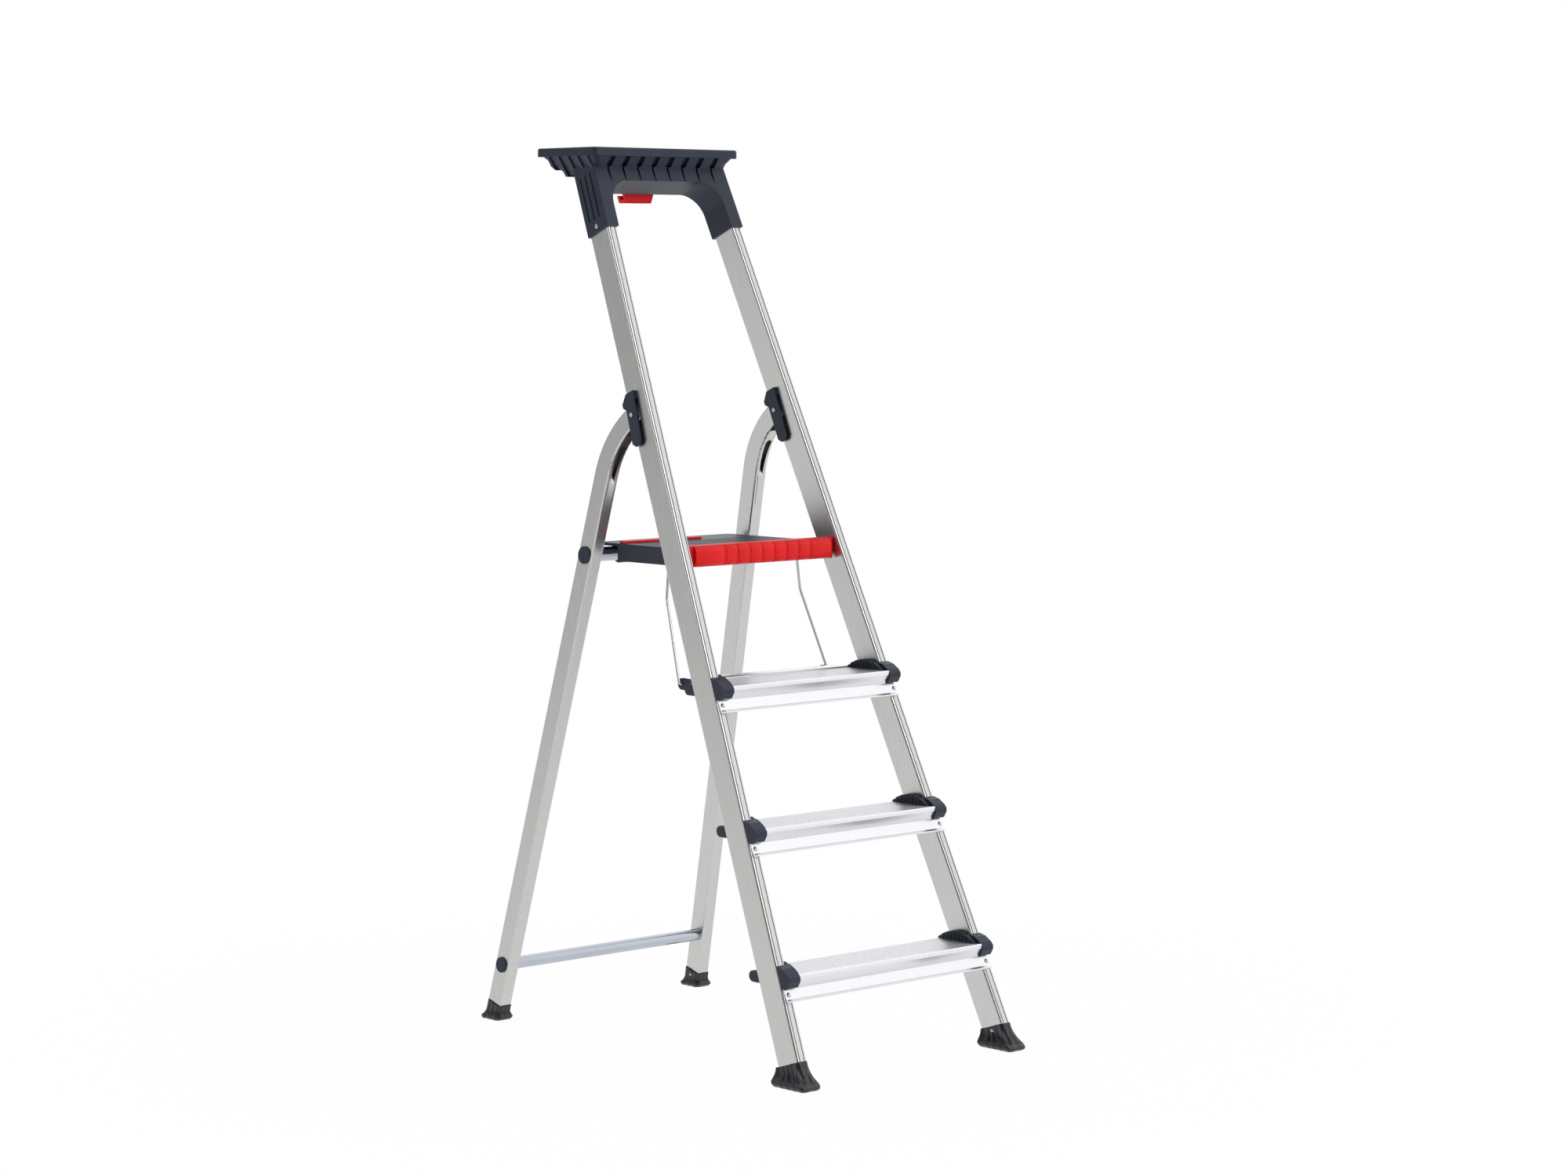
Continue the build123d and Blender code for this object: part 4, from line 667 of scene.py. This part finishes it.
for end, (body, section, foot, lean, (flare, toe, heel), (cut_front, cut_rear)) in SHOES.items():
    foot_x, foot_y = foot
    run = section[1] / math.cos(lean)
    crown = max(cut_front, cut_rear) + CROWN_OVER / MM
    wall = SHOE_WALL / MM
    sole_size = ((section[0] + 2 * flare) * MM, (run + toe + heel) * MM)
    neck_size = ((section[0] + 2 * wall) * MM, (run + 2 * wall) * MM)
    sole_y = (foot_y + (run + heel - toe) / 2) * MM
    neck_y = (foot_y + crown * math.tan(lean) + run / 2) * MM
    rise = (cut_front - cut_rear) / (run + (cut_rear - cut_front) * math.tan(lean))
    cut_point = (0, (foot_y + cut_front * math.tan(lean)) * MM, cut_front * MM)
    socket = (0, -SOCKET * math.tan(lean), -SOCKET)
    for hand, side in HANDS:
        neck_x = side * (foot_x - crown / math.cos(lean) * math.tan(STILE_SPLAY)) * MM
        mould_shoe(
            f"{end}_shoe_{hand}", body, ((side * foot_x * MM, sole_y), sole_size),
            ((neck_x, neck_y, crown * MM), neck_size), (cut_point, (0, rise, 1), socket),
        )

# The floor: a wide sheet of white paper, laid flat in the studio.
# It is white to the camera and to the metal, with a trace of the ladder's soft shadow.
FLOOR_SIZE = 40.0
FLOOR = "#fafafa"
FLOOR_ROUGH = 0.9
FLOOR_GLOW = 0.96
SHADOW_REACH = 1.8
bpy.ops.object.select_all(action="DESELECT")
bpy.ops.mesh.primitive_plane_add(size=FLOOR_SIZE, location=(0, 0, 0))
floor = bpy.context.object
floor.name = "studio_floor"
paper, shader = new_material("white_paper_floor")
shader.inputs["Base Color"].default_value = linear(FLOOR)
shader.inputs["Roughness"].default_value = FLOOR_ROUGH
path = add_node(paper, "ShaderNodeLightPath")
white = add_node(paper, "ShaderNodeEmission", values={"Strength": 1.0})
seen = add_node(
    paper, "ShaderNodeMath", {0: (path, "Is Camera Ray"), 1: (path, "Is Glossy Ray")},
    operation="MAXIMUM",
)
place = add_node(paper, "ShaderNodeTexCoord")
reach = add_node(paper, "ShaderNodeVectorMath", {0: (place, "Object")}, operation="LENGTH")
fade = add_node(
    paper, "ShaderNodeMapRange", {"Value": (reach, "Value")},
    {"From Min": SHADOW_REACH / 2, "From Max": SHADOW_REACH, "To Min": FLOOR_GLOW, "To Max": 1.0},
)
share = add_node(paper, "ShaderNodeMath", {0: (seen, 0), 1: (fade, 0)}, operation="MULTIPLY")
blend = add_node(
    paper, "ShaderNodeMixShader", {0: (share, 0), 1: (shader, "BSDF"), 2: (white, "Emission")}
)
surface = paper.node_tree.nodes["Material Output"].inputs["Surface"]
paper.node_tree.links.new(blend.outputs[0], surface)
floor.data.materials.append(paper)

# The light: a white room, dim on the left where the metal's outer faces look and bright on the
# right where the treads and the stiles' front faces look, and two large soft lamps.
ROOM_LEFT = 0.4
ROOM_RIGHT = 1.16
ROOM_SPAN = (-0.6, 0.5)
DARK_CORNER = (-0.69, -0.53, 0.49)
DARK_SPAN = (0.55, 0.9)
DARK_SHARE = 0.25
LAMP_AIM = (0, 0, 0.8)
# Each lamp's place, the side of its square and its power in watts
LAMPS = {"key_lamp": ((0.6, -4.6, 4.3), 2.4, 80), "fill_lamp": ((-4.5, 1.0, 3.2), 2.6, 40)}
world = bpy.context.scene.world or bpy.data.worlds.new("studio")
bpy.context.scene.world = world
world.use_nodes = True
room = world.node_tree.nodes["Background"]
room.inputs["Color"].default_value = (1, 1, 1, 1)
path = add_node(world, "ShaderNodeLightPath")
place = add_node(world, "ShaderNodeTexCoord")
across = add_node(world, "ShaderNodeSeparateXYZ", {0: (place, "Generated")})
walls = add_node(
    world, "ShaderNodeMapRange", {"Value": (across, "X")},
    {
        "From Min": ROOM_SPAN[0], "From Max": ROOM_SPAN[1],
        "To Min": ROOM_LEFT, "To Max": ROOM_RIGHT,
    },
)
towards = add_node(
    world, "ShaderNodeVectorMath", {0: (place, "Generated")}, {1: DARK_CORNER},
    operation="DOT_PRODUCT",
)
shaded = add_node(
    world, "ShaderNodeMapRange", {"Value": (towards, "Value")},
    {
        "From Min": DARK_SPAN[0], "From Max": DARK_SPAN[1],
        "To Min": 1.0, "To Max": DARK_SHARE,
    },
)
glow = add_node(world, "ShaderNodeMath", {0: (walls, 0), 1: (shaded, 0)}, operation="MULTIPLY")
# The camera itself sees plain white: sockets 2 and 3 are the two values of a Mix node for numbers
level = add_node(
    world, "ShaderNodeMix", {"Factor": (path, "Is Camera Ray"), 2: (glow, 0)}, {3: 1.0},
    data_type="FLOAT",
)
world.node_tree.links.new(level.outputs[0], room.inputs["Strength"])
for name, (spot, size, watts) in LAMPS.items():
    bpy.ops.object.light_add(type="AREA", location=spot)
    lamp = bpy.context.object
    lamp.name = name
    lamp.data.size = size
    lamp.data.energy = watts
    lamp.rotation_euler = (Vector(LAMP_AIM) - Vector(spot)).to_track_quat("-Z", "Y").to_euler()

# The camera: the photograph's own view, with a long lens from the front left.
# It stands at the height of the bow and looks slightly down.
CAMERA_PLACE = (-4.4189, -4.9222, 1.3354)
CAMERA_AZIMUTH = math.radians(42.49)
CAMERA_PITCH = math.radians(4.773)
LENS = 87.92
SENSOR_WIDTH = 36.0
bpy.ops.object.camera_add(
    location=CAMERA_PLACE, rotation=(math.radians(90) - CAMERA_PITCH, 0, -CAMERA_AZIMUTH)
)
camera = bpy.context.object
camera.data.lens = LENS
camera.data.sensor_width = SENSOR_WIDTH
bpy.context.scene.camera = camera
bpy.context.scene.view_settings.view_transform = "Standard"
